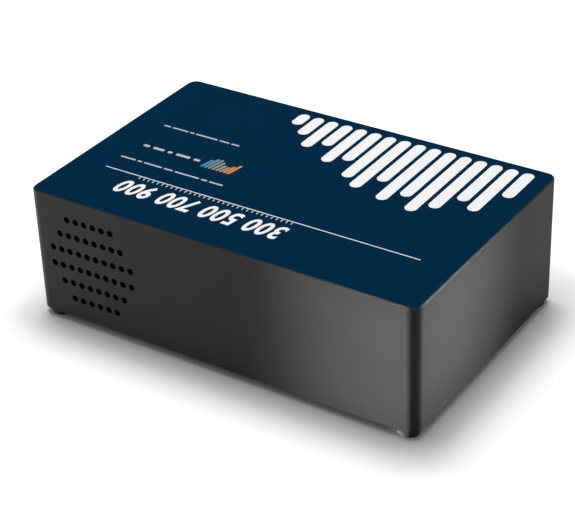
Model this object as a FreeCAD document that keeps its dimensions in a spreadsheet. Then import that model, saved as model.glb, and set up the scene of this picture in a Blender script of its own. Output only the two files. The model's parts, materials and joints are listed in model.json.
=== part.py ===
import FreeCAD, Part
import math
import os
import re

import Sketcher
from FreeCAD import Vector

# Fibre optic spectrometer with a cooled detector: a milled housing ring between a cover and a base
# plate, a crossed mirror and grating bench inside, and a fan that blows warm air out of the front wall.
# The frame: +X to the right along the long side, +Y to the back, where the fibre port is, +Z up.
# The floor that the feet stand on is at zero height. Lengths are in millimetres.

SIZES = {
    # housing
    "body_length": 180.0,
    "body_width": 115.0,
    "body_height": 56.5,
    "corner_radius": 4.5,
    "wall": 3.0,
    "lip": 1.5,
    "post_width": 6.2,
    "cover_thickness": 2.0,
    "label_thickness": 0.25,
    "label_inset": 0.5,
    "base_thickness": 3.0,
    "plate_gap": 0.15,
    "edge_break": 0.3,
    # feet
    "foot_height": 3.0,
    "foot_diameter": 10.0,
    "foot_taper": 0.5,
    "foot_recess_diameter": 6.4,
    "foot_recess_depth": 1.8,
    # screws: the shank, the pan head and the room that a shank has in its hole
    "screw_diameter": 3.0,
    "screw_head_diameter": 5.5,
    "screw_head_height": 1.5,
    "screw_bite": 8.0,
    "bench_bite": 4.0,
    "screw_end_gap": 1.0,
    "screw_short": 0.3,
    "small_screw_diameter": 2.0,
    "small_head_diameter": 3.6,
    "small_head_height": 1.2,
    "small_bite": 4.0,
    "small_end_gap": 0.5,
    "thread_gap": 0.05,
    "hole_gap": 0.1,
    # tapped holes in the base plate, for a bench plate or a bracket
    "mount_spacing_x": 100.0,
    "mount_spacing_y": 75.0,
    "mount_hole_diameter": 3.3,
    # how the inside is shared along X: the bench takes this part of it, the fan's room the rest
    "bench_share": 0.6437,
    # air outlet in the front wall, in line with the fan, and inlet in the left wall
    "vent_diameter": 3.1,
    "vent_pitch_x": 4.36,
    "vent_pitch_z": 7.49,
    "inlet_slot_width": 3.0,
    "inlet_slot_height": 30.0,
    "inlet_round": 1.3,
    "inlet_pitch": 6.0,
    "inlet_count": 7,
    "inlet_y": 4.0,
    # fan
    "fan_side_gap": 0.3,
    "fan_size": 40.0,
    "fan_depth": 10.0,
    "fan_flange": 2.0,
    "fan_bore": 38.0,
    "fan_barrel": 39.8,
    "fan_hole_spacing": 32.0,
    "fan_boss_diameter": 6.6,
    "fan_base_thickness": 1.5,
    "fan_strut_width": 2.4,
    "fan_strut_overlap": 0.2,
    "rotor_diameter": 18.0,
    "rotor_wall": 1.0,
    "rotor_cap": 1.1,
    "rotor_end_gap": 0.6,
    "blade_count": 7,
    "blade_tip_gap": 0.45,
    "blade_thickness": 0.9,
    "blade_root_lean": 2.6,
    "blade_tip_lean": 3.7,
    "blade_camber": 0.6,
    "fan_shaft_diameter": 2.0,
    "fan_shaft_end_gap": 0.2,
    "fan_bearing_diameter": 5.0,
    "fan_tube_diameter": 6.4,
    "shaft_gap": 0.04,
    "stator_diameter": 14.6,
    "stator_pole_width": 3.0,
    "stator_shoe": 1.4,
    "stator_slot": 1.2,
    "stator_slot_reach": 0.3,
    "bracket_thickness": 1.0,
    "bracket_foot": 10.0,
    "bracket_screw_spacing": 30.0,
    # heat sink between the fan and the cooler: it ends where the foot of the heat spreader ends
    "sink_left_gap": 7.0,
    "sink_right_gap": 7.5,
    "sink_front_gap": 5.5,
    "sink_lift": 14.0,
    "sink_base": 4.0,
    "fin_thickness": 1.2,
    "fin_pitch": 5.76,
    "fin_count": 6,
    "sink_post_diameter": 7.0,
    "sink_post_inset": 4.5,
    "sink_post_setback": 9.0,
    "sink_post_spacing": 25.0,
    # optical bench
    "bench_gap": 1.5,
    "bench_wall": 3.0,
    "bench_floor": 5.0,
    "bench_height": 38.0,
    "bench_lid_thickness": 1.5,
    "bench_notch_gap": 0.5,
    "bench_screw_inset_x": 8.0,
    "bench_screw_inset_y": 9.0,
    "optical_height": 25.0,
    # fibre port, at its share of the bench's length
    "port_share": 0.5223,
    "port_thread_diameter": 6.35,
    "port_thread_length": 8.0,
    "port_hex": 8.0,
    "port_hex_length": 2.5,
    "port_tail": 11.5,
    "ferrule_diameter": 3.2,
    "ferrule_length": 9.8,
    "slit_bore_diameter": 5.0,
    "slit_disc_thickness": 0.3,
    "slit_width": 0.1,
    "slit_length": 1.2,
    "retainer_bore": 4.1,
    "retainer_length": 4.0,
    "fit_gap": 0.05,
    "port_nut_length": 2.0,
    "port_spacer_diameter": 12.0,
    "port_hole_gap": 0.15,
    # mirrors and grating: places of their faces, as shares of the bench's length, and sizes
    "collimator_share": 0.2902,
    "collimator_front": 17.0,
    "collimator_width": 24.0,
    "focusing_share": 0.7188,
    "focusing_front": 16.0,
    "focusing_width": 32.0,
    "mirror_height": 20.0,
    "mirror_thickness": 5.0,
    "mirror_radius": 190.0,
    "holder_plate": 3.0,
    "holder_foot": 4.0,
    "holder_reach": 5.0,
    "collimator_screw_inset": 3.0,
    "focusing_screw_inset": 4.0,
    "grating_share": 0.7366,
    "grating_rear": 27.0,
    "grating_width": 22.0,
    "grating_thickness": 6.0,
    "grating_lines": 600.0,
    "centre_wavelength": 0.0006,
    "turntable_diameter": 26.0,
    # detector
    "detector_share": 0.2545,
    "detector_rear": 21.0,
    "package_length": 32.0,
    "package_height": 9.0,
    "package_thickness": 3.6,
    "window_length": 29.0,
    "window_height": 6.4,
    "window_thickness": 0.7,
    "window_ledge": 1.0,
    "well_depth": 0.8,
    "lens_length": 28.0,
    "lens_height": 6.0,
    "lens_thickness": 1.5,
    "lens_radius": 4.0,
    "board_thickness": 1.6,
    "detector_board_length": 38.0,
    "detector_board_height": 22.0,
    "detector_screw_inset": 3.0,
    "detector_screw_rise": 3.6,
    "detector_plate_rise": 5.2,
    "foot_screw_inset": 5.0,
    "foot_screw_ahead": 2.5,
    "cold_block_width": 11.6,
    "cold_block_height": 5.6,
    "cold_plate_width": 16.0,
    "cold_plate_height": 15.0,
    "cold_plate_thickness": 2.0,
    "cold_gap": 0.8,
    "cooler_plate": 0.7,
    "cooler_thickness": 3.0,
    "cooler_pellet": 1.6,
    "cooler_pellet_pitch": 3.9,
    "cooler_pellet_count": 4,
    "spreader_thickness": 3.0,
    "spreader_foot_front": 8.9,
    "spreader_foot_back": 1.35,
    "spreader_gap": 1.0,
    "spreader_screw_inset": 3.5,
    "spreader_screw_rise": 4.0,
    # stops for stray light
    "baffle_thickness": 1.2,
    "baffle_rear": 13.0,
    "baffle_width": 24.0,
    "baffle_opening": 7.0,
    "baffle_foot": 6.0,
    "baffle_head_gap": 1.0,
    "baffle_screw_inset": 3.0,
    "baffle_screw_side": 5.0,
    "dump_front": 9.0,
    "dump_width": 7.5,
    "dump_length": 14.0,
    "dump_head_gap": 1.8,
    "dump_depth": 5.0,
    "dump_screw_inset": 2.3,
    # circuit boards
    "board_gap": 1.3,
    "io_board_side": 2.5,
    "io_board_rear": 0.7,
    "io_board_gap": 0.6,
    "board_lift": 4.0,
    "board_post_diameter": 5.0,
    "clinch_diameter": 3.4,
    "clinch_depth": 1.0,
    "board_inset": 4.0,
    "main_post_inset": 14.0,
    "socket_room": 24.0,
    "main_board_inset_x": 8.0,
    "main_board_inset_y": 11.0,
    # sockets in the back wall, each at its share of the fan's room
    "usb_share": 0.2835,
    "usb_width": 12.0,
    "usb_height": 10.8,
    "usb_depth": 16.0,
    "usb_opening_width": 8.45,
    "usb_opening_height": 7.78,
    "usb_opening_depth": 9.0,
    "usb_opening_bevel": 1.6,
    "usb_tongue_width": 5.6,
    "usb_tongue_height": 3.2,
    "usb_tongue_setback": 1.0,
    "jack_share": 0.5039,
    "jack_width": 9.0,
    "jack_height": 11.0,
    "jack_depth": 14.0,
    "jack_bore": 6.3,
    "jack_bore_depth": 9.5,
    "jack_pin_diameter": 2.0,
    "jack_pin_length": 9.0,
    "jack_pin_root": 2.0,
    "jack_root_diameter": 1.6,
    "jack_pin_round": 0.6,
    "header_share": 0.7402,
    "header_width": 14.0,
    "header_height": 6.6,
    "header_depth": 9.0,
    "header_wall": 0.9,
    "header_cavity_depth": 6.0,
    "header_pitch": 2.0,
    "header_columns": 5,
    "header_pin": 0.5,
    "header_pin_length": 5.0,
    "header_key_width": 4.0,
    "lamp_share": 0.9134,
    "lamp_diameter": 3.0,
    "lamp_block": 5.0,
    "lamp_round": 1.2,
    "socket_gap": 0.2,
    "socket_recess": 0.3,
    # leads
    "lead_diameter": 1.4,
    "lead_bend": 4.0,
    "lead_plug_width": 6.0,
    "lead_plug_depth": 5.0,
    "lead_plug_inset": 6.0,
    "ribbon_thickness": 0.9,
    "ribbon_setback": 9.0,
    "ribbon_width": 8.5,
    "ribbon_bend": 2.0,
    "ribbon_rise": 1.0,
    "ribbon_side_gap": 1.5,
    "ribbon_plug_inset": 1.0,
    "ribbon_plug_width": 5.0,
    "flex_thickness": 0.3,
    "flex_width": 12.0,
    "flex_behind": 1.0,
    "plug_depth": 2.0,
    "plug_height": 2.8,
    "plug_inset": 0.2,
    "plug_side": 1.0,
    "connector_height": 3.0,
}

# Sizes and places that follow from the driving sizes.
DERIVED = {
    "half_length": "body_length / 2",
    "half_width": "body_width / 2",
    "ring_top": "foot_height + body_height - label_thickness",
    "cover_bottom": "ring_top - cover_thickness",
    "base_top": "foot_height + base_thickness",
    "inner_x": "half_length - wall",
    "inner_y": "half_width - wall",
    "post_x": "inner_x - post_width",
    "post_y": "inner_y - post_width",
    "post_screw_x": "inner_x - post_width / 2",
    "post_screw_y": "inner_y - post_width / 2",
    "plate_x": "half_length - lip - plate_gap",
    "plate_y": "half_width - lip - plate_gap",
    "plate_radius": "corner_radius - lip - plate_gap",
    "tapped_diameter": "screw_diameter + 2 * thread_gap",
    "clear_diameter": "screw_diameter + 2 * hole_gap",
    "small_tapped_diameter": "small_screw_diameter + 2 * thread_gap",
    "small_clear_diameter": "small_screw_diameter + 2 * hole_gap",
    "sunk_diameter": "screw_head_diameter + 2 * hole_gap",
    "cone_height": "(screw_head_diameter - screw_diameter) / 2",
    "vent_z": "foot_height + body_height / 2",
    "fan_y": "fan_depth / 2 - inner_y",
    "fan_back": "fan_depth - inner_y",
    "fan_half": "fan_size / 2",
    "rotor_front": "fan_base_thickness + rotor_end_gap - fan_depth / 2",
    "rotor_back": "fan_depth / 2 - rotor_end_gap",
    "cup_floor": "rotor_back - rotor_cap",
    "blade_sweep": "fan_bore / 2 - blade_tip_gap",
    "blade_reach": "sqrt(blade_sweep * blade_sweep - blade_tip_lean * blade_tip_lean)",
    "bench_length": "bench_share * 2 * inner_x",
    "bench_half_width": "inner_y - bench_gap",
    "bench_right": "inner_x - bench_gap",
    "bench_left": "bench_right - bench_length",
    "fan_room": "bench_left + half_length",
    "vent_x": "fan_side_gap + fan_half - post_x",
    "bench_top": "base_top + bench_height",
    "floor_top": "base_top + bench_floor",
    "dump_height": "bench_top - floor_top - small_head_height - dump_head_gap",
    "lid_top": "bench_top + bench_lid_thickness",
    "optical_z": "foot_height + optical_height",
    "notch_x": "post_x - bench_notch_gap",
    "notch_y": "post_y - bench_notch_gap",
    "sink_left": "sink_left_gap - inner_x",
    "sink_right": "bench_left - sink_right_gap",
    "sink_front": "fan_back + bracket_thickness + sink_front_gap",
    "foot_front": "bar_front - spreader_foot_front",
    "sink_back": "bar_back + spreader_foot_back",
    "sink_bottom": "base_top + sink_lift",
    "sink_post_left": "sink_left + sink_post_inset",
    "sink_post_right": "sink_right - sink_base - sink_post_inset",
    "sink_post_front": "sink_front + sink_post_setback",
    "sink_post_back": "sink_post_front + sink_post_spacing",
    "port_x": "bench_left + port_share * bench_length",
    "slit_y": "half_width + port_hex_length + port_thread_length - ferrule_length",
    "overhang": "port_hex_length + port_thread_length",
    "collimator_x": "bench_left + collimator_share * bench_length",
    "collimator_y": "collimator_front - bench_half_width",
    "focusing_x": "bench_left + focusing_share * bench_length",
    "focusing_y": "focusing_front - bench_half_width",
    "grating_x": "bench_left + grating_share * bench_length",
    "grating_y": "bench_half_width - grating_rear",
    "detector_x": "bench_left + detector_share * bench_length",
    "detector_y": "bench_half_width - detector_rear",
    "slit_angle": "atan2(slit_y - collimator_y; port_x - collimator_x)",
    "fan_out_angle": "atan2(grating_y - collimator_y; grating_x - collimator_x)",
    "return_angle": "atan2(focusing_y - grating_y; focusing_x - grating_x)",
    "focus_angle": "atan2(detector_y - focusing_y; detector_x - focusing_x)",
    "collimator_turn": "(slit_angle + fan_out_angle) / 2 - 90 deg",
    "focusing_turn": "(return_angle + 180 deg + focus_angle) / 2 - 90 deg",
    "grating_half_angle": "(return_angle - fan_out_angle + 180 deg) / 2",
    "grating_tilt": "asin(grating_lines * centre_wavelength / 2 / cos(grating_half_angle))",
    "grating_turn": "(fan_out_angle - 180 deg + return_angle) / 2 + grating_tilt - 90 deg",
    "detector_turn": "focus_angle - 270 deg",
    "board_back": "package_thickness + board_thickness",
    "cold_front": "board_back + cold_gap",
    "cooler_front": "cold_front + cold_plate_thickness",
    "cooler_back": "cooler_front + cooler_thickness",
    "spreader_back": "cooler_back + spreader_thickness",
    "bar_lean": "tan(detector_turn) * (spreader_face - detector_x)",
    "bar_front": "detector_y + bar_lean - cooler_back / cos(detector_turn)",
    "bar_back": "detector_y + bar_lean - spreader_back / cos(detector_turn)",
    "io_board_left": "board_gap - post_x",
    "io_board_right": "bench_left - io_board_side",
    "io_board_back": "inner_y - io_board_rear",
    "io_board_front": "sink_post_back + sink_post_diameter / 2 + io_board_gap",
    "io_board_z": "base_top + board_lift",
    "io_board_top": "io_board_z + board_thickness",
    "main_board_left": "bench_left + main_board_inset_x",
    "main_board_right": "bench_right - main_board_inset_x",
    "main_board_half_width": "bench_half_width - main_board_inset_y",
    "main_board_z": "lid_top + board_lift",
    "main_board_top": "main_board_z + board_thickness",
    "socket_face": "half_width - socket_recess",
    "usb_x": "usb_share * fan_room - half_length",
    "jack_x": "jack_share * fan_room - half_length",
    "jack_z": "io_board_top + jack_height - jack_width / 2",
    "header_x": "header_share * fan_room - half_length",
    "lamp_x": "lamp_share * fan_room - half_length",
    "lamp_z": "io_board_top + lamp_block / 2",
    "lead_z": "io_board_top + connector_height / 2",
    "lead_x": "(sink_right + bench_left) / 2",
    "lead_end": "io_board_front + lead_plug_inset",
    "ribbon_x": "io_board_right - ribbon_side_gap - ribbon_thickness",
    "ribbon_front": "main_board_half_width - ribbon_setback",
    "ribbon_back": "ribbon_front + ribbon_width",
    "foot_screw_y": "foot_screw_ahead - board_back",
    "cover_neck": "ring_top - cone_height",
    "base_neck": "foot_height + cone_height",
    "sink_plate": "sink_right - sink_base",
    "spreader_face": "sink_right + spreader_thickness",
    "lamp_back": "inner_y - io_board_rear",
    "baffle_y": "bench_half_width - baffle_rear",
    "dump_x": "bench_right - bench_wall - dump_width",
    "dump_y": "dump_front - bench_half_width",
}

WORD = re.compile(r"[a-z][a-z0-9_]*")

doc = FreeCAD.newDocument("spectrometer")
sheet = doc.addObject("Spreadsheet::Sheet", "Sizes")
for row, (word, size) in enumerate(SIZES.items(), start=1):
    sheet.set(f"A{row}", word)
    sheet.set(f"B{row}", str(size))
    sheet.setAlias(f"B{row}", word)
doc.recompute()

reader = doc.addObject("App::FeaturePython", "Reader")
subparts = {}


def in_sheet(text):
    """Write a formula with the sheet's own names, and each derived word as its own formula."""

    def swap(found):
        word = found.group()
        if word in SIZES:
            return "Sizes." + word
        if word in DERIVED:
            return "(" + in_sheet(DERIVED[word]) + ")"
        return word

    return WORD.sub(swap, text)


known = {}


def value(text):
    """Work a formula out as a plain number."""
    if text not in known:
        known[text] = float(reader.evalExpression(in_sheet(text)))
    return known[text]


def bind(thing, **formulas):
    """Tie properties of an object to formulas: an underscore in a name stands for a dot."""
    for name, text in formulas.items():
        thing.setExpression(name.replace("_", "."), in_sheet(text))


def place(thing, x="0", y="0", z="0", turn="0"):
    """Put a finished sub-part in the frame, whose middle is half the overhang behind the housing's."""
    bind(thing, Placement_Base_x=x, Placement_Base_y=f"{y} - overhang / 2", Placement_Base_z=z)
    if turn != "0":
        bind(thing, Placement_Rotation_Angle=turn)


def new_body(label, **where):
    """Start a sub-part that is made of sketched features."""
    body = doc.addObject("PartDesign::Body", label)
    body.Label = label
    place(body, **where)
    subparts[label] = body
    return body


def new_sketch(body, plane, height):
    """Open a sketch on one of the body's own planes, moved along that plane's axis."""
    sketch = body.newObject("Sketcher::SketchObject", "Sketch")
    base = next(item for item in body.Origin.OriginFeatures if item.Role == plane + "_Plane")
    sketch.AttachmentSupport = [(base, "")]
    sketch.MapMode = "FlatFace"
    # The XZ plane looks along -Y, so a height along +Y is counted backwards there.
    sign = "-" if plane == "XZ" else ""
    bind(sketch, AttachmentOffset_Base_z=f"{sign}({height})")
    return sketch


def pin_point(sketch, geometry, point, x, y):
    """Hold a point of a sketch at its two distances from the origin."""
    for kind, text in (("DistanceX", x), ("DistanceY", y)):
        number = sketch.addConstraint(Sketcher.Constraint(kind, -1, 1, geometry, point, value(text)))
        sketch.setExpression(f"Constraints[{number}]", in_sheet(text))


def circle(x, y, diameter):
    """Return a drawing of one circle."""

    def draw(sketch):
        centre = Vector(value(x), value(y), 0)
        ring = Part.Circle(centre, Vector(0, 0, 1), value(diameter) / 2)
        number = sketch.addGeometry(ring, False)
        size = sketch.addConstraint(Sketcher.Constraint("Diameter", number, value(diameter)))
        sketch.setExpression(f"Constraints[{size}]", in_sheet(diameter))
        pin_point(sketch, number, 3, x, y)

    return draw


def circles(places, diameter):
    """Return a drawing of equal circles."""

    def draw(sketch):
        for x, y in places:
            circle(x, y, diameter)(sketch)

    return draw


def loop(*points):
    """Return a drawing of a closed outline with straight sides."""

    def draw(sketch):
        corners = [Vector(value(x), value(y), 0) for x, y in points]
        first = sketch.GeometryCount
        for start, stop in zip(corners, corners[1:] + corners[:1]):
            sketch.addGeometry(Part.LineSegment(start, stop), False)
        for step in range(len(points)):
            ahead = (step + 1) % len(points)
            joint = Sketcher.Constraint("Coincident", first + step, 2, first + ahead, 1)
            sketch.addConstraint(joint)
        for step, (x, y) in enumerate(points):
            pin_point(sketch, first + step, 1, x, y)

    return draw


def rectangle(x_low, x_high, y_low, y_high):
    """Return a drawing of a rectangle with sharp corners."""
    return loop((x_low, y_low), (x_high, y_low), (x_high, y_high), (x_low, y_high))


def square(x, y, size):
    """Return a drawing of a square round a point."""
    reach = f"({size}) / 2"
    return rectangle(f"{x} - {reach}", f"{x} + {reach}", f"{y} - {reach}", f"{y} + {reach}")


def rounded(x_low, x_high, y_low, y_high, radius):
    """Return a drawing of a rectangle with round corners."""

    def draw(sketch):
        inside = [
            (f"{x_high} - ({radius})", f"{y_low} + ({radius})", -90),
            (f"{x_high} - ({radius})", f"{y_high} - ({radius})", 0),
            (f"{x_low} + ({radius})", f"{y_high} - ({radius})", 90),
            (f"{x_low} + ({radius})", f"{y_low} + ({radius})", 180),
        ]
        arcs = []
        for x, y, angle in inside:
            centre = Vector(value(x), value(y), 0)
            round_corner = Part.Circle(centre, Vector(0, 0, 1), value(radius))
            begin = math.radians(angle)
            arc = Part.ArcOfCircle(round_corner, begin, begin + math.pi / 2)
            number = sketch.addGeometry(arc, False)
            size = sketch.addConstraint(Sketcher.Constraint("Radius", number, value(radius)))
            sketch.setExpression(f"Constraints[{size}]", in_sheet(radius))
            pin_point(sketch, number, 3, x, y)
            arcs.append((number, arc))
        for (number, arc), (ahead, next_arc) in zip(arcs, arcs[1:] + arcs[:1]):
            side = Part.LineSegment(arc.EndPoint, next_arc.StartPoint)
            line = sketch.addGeometry(side, False)
            sketch.addConstraint(Sketcher.Constraint("Tangent", number, 2, line, 1))
            sketch.addConstraint(Sketcher.Constraint("Tangent", line, 2, ahead, 1))

    return draw


def polygon(sides, across):
    """Return a drawing of a regular outline round the origin, measured across its flats."""
    reach = f"{across} / 2 / cos(180 / {sides})"
    turns = [f"{360 * (step + 0.5) / sides}" for step in range(sides)]
    return loop(*[(f"{reach} * cos({turn})", f"{reach} * sin({turn})") for turn in turns])


def grow(body, plane, low, high, draw, taper="0"):
    """Add what a drawing gives between two heights."""
    sketch = new_sketch(body, plane, low)
    draw(sketch)
    feature = body.newObject("PartDesign::Pad", "Pad")
    feature.Profile = sketch
    feature.Reversed = plane == "XZ"
    bind(feature, Length=f"{high} - ({low})")
    if taper != "0":
        bind(feature, TaperAngle=taper)
    doc.recompute()
    return feature


def cut(body, plane, low, high, draw, taper="0"):
    """Take away what a drawing gives between two heights, and make sure that it took something."""
    before = body.Shape.Volume
    sketch = new_sketch(body, plane, low)
    draw(sketch)
    feature = body.newObject("PartDesign::Pocket", "Pocket")
    feature.Profile = sketch
    feature.Reversed = plane != "XZ"
    bind(feature, Length=f"{high} - ({low})")
    if taper != "0":
        bind(feature, TaperAngle=taper)
    doc.recompute()
    if body.Shape.Volume >= before:
        raise RuntimeError(f"a cut in {body.Label} took nothing away")
    return feature


def repeat(body, feature, axis, count, pitch):
    """Repeat a feature along an axis of its body."""
    pattern = body.newObject("PartDesign::LinearPattern", "LinearPattern")
    pattern.Originals = [feature]
    line = next(item for item in body.Origin.OriginFeatures if item.Role == axis + "_Axis")
    pattern.Direction = (line, [""])
    bind(pattern, Length=f"{pitch} * ({count} - 1)", Occurrences=count)
    body.Tip = pattern
    doc.recompute()
    return pattern


def repeat_round(body, features, axis, count):
    """Repeat features round an axis of their body."""
    pattern = body.newObject("PartDesign::PolarPattern", "PolarPattern")
    pattern.Originals = features
    line = next(item for item in body.Origin.OriginFeatures if item.Role == axis + "_Axis")
    pattern.Axis = (line, [""])
    pattern.Angle = 360
    bind(pattern, Occurrences=count)
    body.Tip = pattern
    doc.recompute()
    return pattern


def edges_where(shape, test):
    """Name the edges whose middle point passes a test."""
    names = []
    for number, edge in enumerate(shape.Edges, start=1):
        if test(edge.valueAt((edge.FirstParameter + edge.LastParameter) / 2), edge):
            names.append(f"Edge{number}")
    return names


def ease(body, kind, size, test):
    """Fillet or chamfer the edges of a body that pass a test."""
    last = body.Tip
    feature = body.newObject("PartDesign::" + kind, kind)
    feature.Base = (last, edges_where(last.Shape, test))
    bind(feature, **{"Radius" if kind == "Fillet" else "Size": size})
    doc.recompute()
    return feature


def near(first, second):
    """Say whether two lengths are the same."""
    return abs(first - second) < 1e-4


def both(x):
    """Give a length and its mirror image."""
    return (f"-({x})", f"({x})")


def corners(x, y):
    """Give the four places that lie alike round the middle."""
    return [(across, along) for across in both(x) for along in both(y)]


def turned(name, across, ahead):
    """Turn a point of a tilted optic's own plan into the frame's plan."""
    angle = name + "_turn"
    x = f"{name}_x + cos({angle}) * ({across}) - sin({angle}) * ({ahead})"
    y = f"{name}_y + sin({angle}) * ({across}) + cos({angle}) * ({ahead})"
    return x, y


# Housing

# Holes in each row of the air outlet, from the middle outwards: the rows above and below are alike.
VENT_ROWS = (10, 8, 6)
POSTS = corners("post_screw_x", "post_screw_y")
MOUNT_HOLES = corners("mount_spacing_x / 2", "mount_spacing_y / 2")
BENCH_SCREWS = [
    (x, y)
    for x in ("bench_left + bench_screw_inset_x", "bench_right - bench_screw_inset_x - post_width")
    for y in both("bench_half_width - bench_screw_inset_y")
]
SINK_POSTS = [
    (x, y) for x in ("sink_post_left", "sink_post_right") for y in ("sink_post_front", "sink_post_back")
]
IO_POSTS = [
    (x, y)
    for x in ("io_board_left + board_inset", "io_board_right - board_inset")
    for y in ("io_board_front + board_inset", "io_board_back - socket_room")
]
MAIN_POSTS = [
    (x, y)
    for x in ("main_board_left + board_inset", "main_board_right - board_inset")
    for y in both("main_board_half_width - main_post_inset")
]
SPREADER_SCREWS = [
    ("foot_front + spreader_screw_inset", f"optical_z {sign} spreader_screw_rise")
    for sign in "-+"
]
BRACKET_SCREWS = [
    (f"vent_x {sign} bracket_screw_spacing / 2", "fan_back + bracket_thickness + bracket_foot / 2")
    for sign in "-+"
]


def build_wall_ring():
    """The milled ring of four walls, with a rebate at each end and a screw post in each corner."""
    ring = new_body("wall_ring")
    outer = rounded("-half_length", "half_length", "-half_width", "half_width", "corner_radius")
    grow(ring, "XY", "foot_height", "ring_top", outer)
    inside = []
    for x, y in ((1, -1), (1, 1), (-1, 1), (-1, -1)):
        side = (f"{x} * inner_x", f"{y} * post_y")
        inner_corner = (f"{x} * post_x", f"{y} * post_y")
        end = (f"{x} * post_x", f"{y} * inner_y")
        inside += [end, inner_corner, side] if x * y < 0 else [side, inner_corner, end]
    cut(ring, "XY", "base_top", "cover_bottom", loop(*inside))
    rebate = rounded(*both("half_length - lip"), *both("half_width - lip"), "corner_radius - lip")
    cut(ring, "XY", "foot_height", "base_top", rebate)
    cut(ring, "XY", "cover_bottom", "ring_top", rebate)
    cut(ring, "XY", "base_top", "base_top + screw_bite", circles(POSTS, "tapped_diameter"))
    cut(ring, "XY", "cover_bottom - screw_bite", "cover_bottom", circles(POSTS, "tapped_diameter"))
    # The chamfer runs round the outer edges only, outside the rebates.
    reach_x = value("half_length - lip / 2")
    reach_y = value("half_width - lip / 2")
    levels = (value("foot_height"), value("ring_top"))

    def is_rim(point, edge):
        level = any(near(point.z, height) for height in levels)
        return level and (abs(point.x) > reach_x or abs(point.y) > reach_y)

    ease(ring, "Chamfer", "edge_break", is_rim)
    cut_vents(ring)
    cut_inlet(ring)
    cut_sockets(ring)


def cut_vents(ring):
    """The air outlet: rows of round holes whose outline is an octagon in front of the fan."""
    for step, count in enumerate(VENT_ROWS):
        x = f"vent_x - vent_pitch_x * {(count - 1) / 2}"
        pair = [(x, f"vent_z {sign} vent_pitch_z * {step + 0.5}") for sign in "-+"]
        holes = cut(ring, "XZ", "-half_width", "-inner_y", circles(pair, "vent_diameter"))
        repeat(ring, holes, "X", str(count), "vent_pitch_x")


def cut_inlet(ring):
    """The air inlet: upright slots in the left wall beside the heat sink."""
    start = "inlet_y - inlet_pitch * (inlet_count - 1) / 2"
    slot = rounded(
        f"{start} - inlet_slot_width / 2",
        f"{start} + inlet_slot_width / 2",
        "vent_z - inlet_slot_height / 2",
        "vent_z + inlet_slot_height / 2",
        "inlet_round",
    )
    first = cut(ring, "YZ", "-half_length", "-inner_x", slot)
    repeat(ring, first, "Y", "inlet_count", "inlet_pitch")


def socket_window(name, height, gap="socket_gap"):
    """Return a drawing of the window that a socket on the rear board needs in the back wall."""
    return rectangle(
        f"{name}_x - {name}_width / 2 - {gap}",
        f"{name}_x + {name}_width / 2 + {gap}",
        f"io_board_top - {gap}",
        f"io_board_top + {height} + {gap}",
    )


def cut_sockets(ring):
    """The openings of the back wall: the fibre port, three sockets and a lamp."""
    windows = [
        circle("port_x", "optical_z", "port_thread_diameter + 2 * port_hole_gap"),
        socket_window("usb", "usb_height"),
        socket_window("jack", "jack_height"),
        socket_window("header", "header_height"),
        circle("lamp_x", "lamp_z", "lamp_diameter + 2 * socket_gap"),
    ]
    for window in windows:
        cut(ring, "XZ", "inner_y", "half_width", window)


def build_covers():
    """The top cover in its rebate, the printed film over it, and the base plate below."""
    outline = rounded("-plate_x", "plate_x", "-plate_y", "plate_y", "plate_radius")
    cover = new_body("top_cover")
    grow(cover, "XY", "cover_bottom", "ring_top", outline)
    cut(cover, "XY", "cover_bottom", "ring_top", circles(POSTS, "clear_diameter"))
    cut(cover, "XY", "cover_neck", "ring_top", circles(POSTS, "clear_diameter"), taper="45")

    film = new_body("top_label")
    edges = (*both("half_length - label_inset"), *both("half_width - label_inset"))
    printed = rounded(*edges, "corner_radius - label_inset")
    grow(film, "XY", "ring_top", "ring_top + label_thickness", printed)

    base = new_body("base_plate")
    grow(base, "XY", "foot_height", "base_top", outline)
    cut(base, "XY", "foot_height", "base_top", circles(POSTS, "clear_diameter"))
    cut(base, "XY", "foot_height", "base_top", circles(MOUNT_HOLES, "mount_hole_diameter"))
    sunk = BENCH_SCREWS + SINK_POSTS
    cut(base, "XY", "foot_height", "base_top", circles(sunk, "clear_diameter"))
    cut(base, "XY", "foot_height", "base_neck", circles(sunk, "sunk_diameter"), taper="-45")
    clinch = circles(IO_POSTS, "clinch_diameter + 2 * thread_gap")
    cut(base, "XY", "base_top - clinch_depth", "base_top", clinch)
    cut(base, "XY", "foot_height", "base_top", circles(BRACKET_SCREWS, "tapped_diameter"))


def build_feet():
    """Four rubber feet, each held by the screw that also holds the base plate to its post."""
    names = ("foot_front_left", "foot_rear_left", "foot_front_right", "foot_rear_right")
    for name, (x, y) in zip(names, POSTS):
        foot = new_body(name, x=x, y=y)
        grow(foot, "XY", "0", "foot_height", circle("0", "0", "foot_diameter"))
        cut(foot, "XY", "0", "foot_height", circle("0", "0", "clear_diameter"))
        cut(foot, "XY", "0", "foot_recess_depth", circle("0", "0", "foot_recess_diameter"))
        half = value("foot_diameter / 2")

        def is_lower_rim(point, edge, half=half):
            return near(point.z, 0) and near(math.hypot(point.x, point.y), half)

        ease(foot, "Chamfer", "foot_taper", is_lower_rim)


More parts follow.
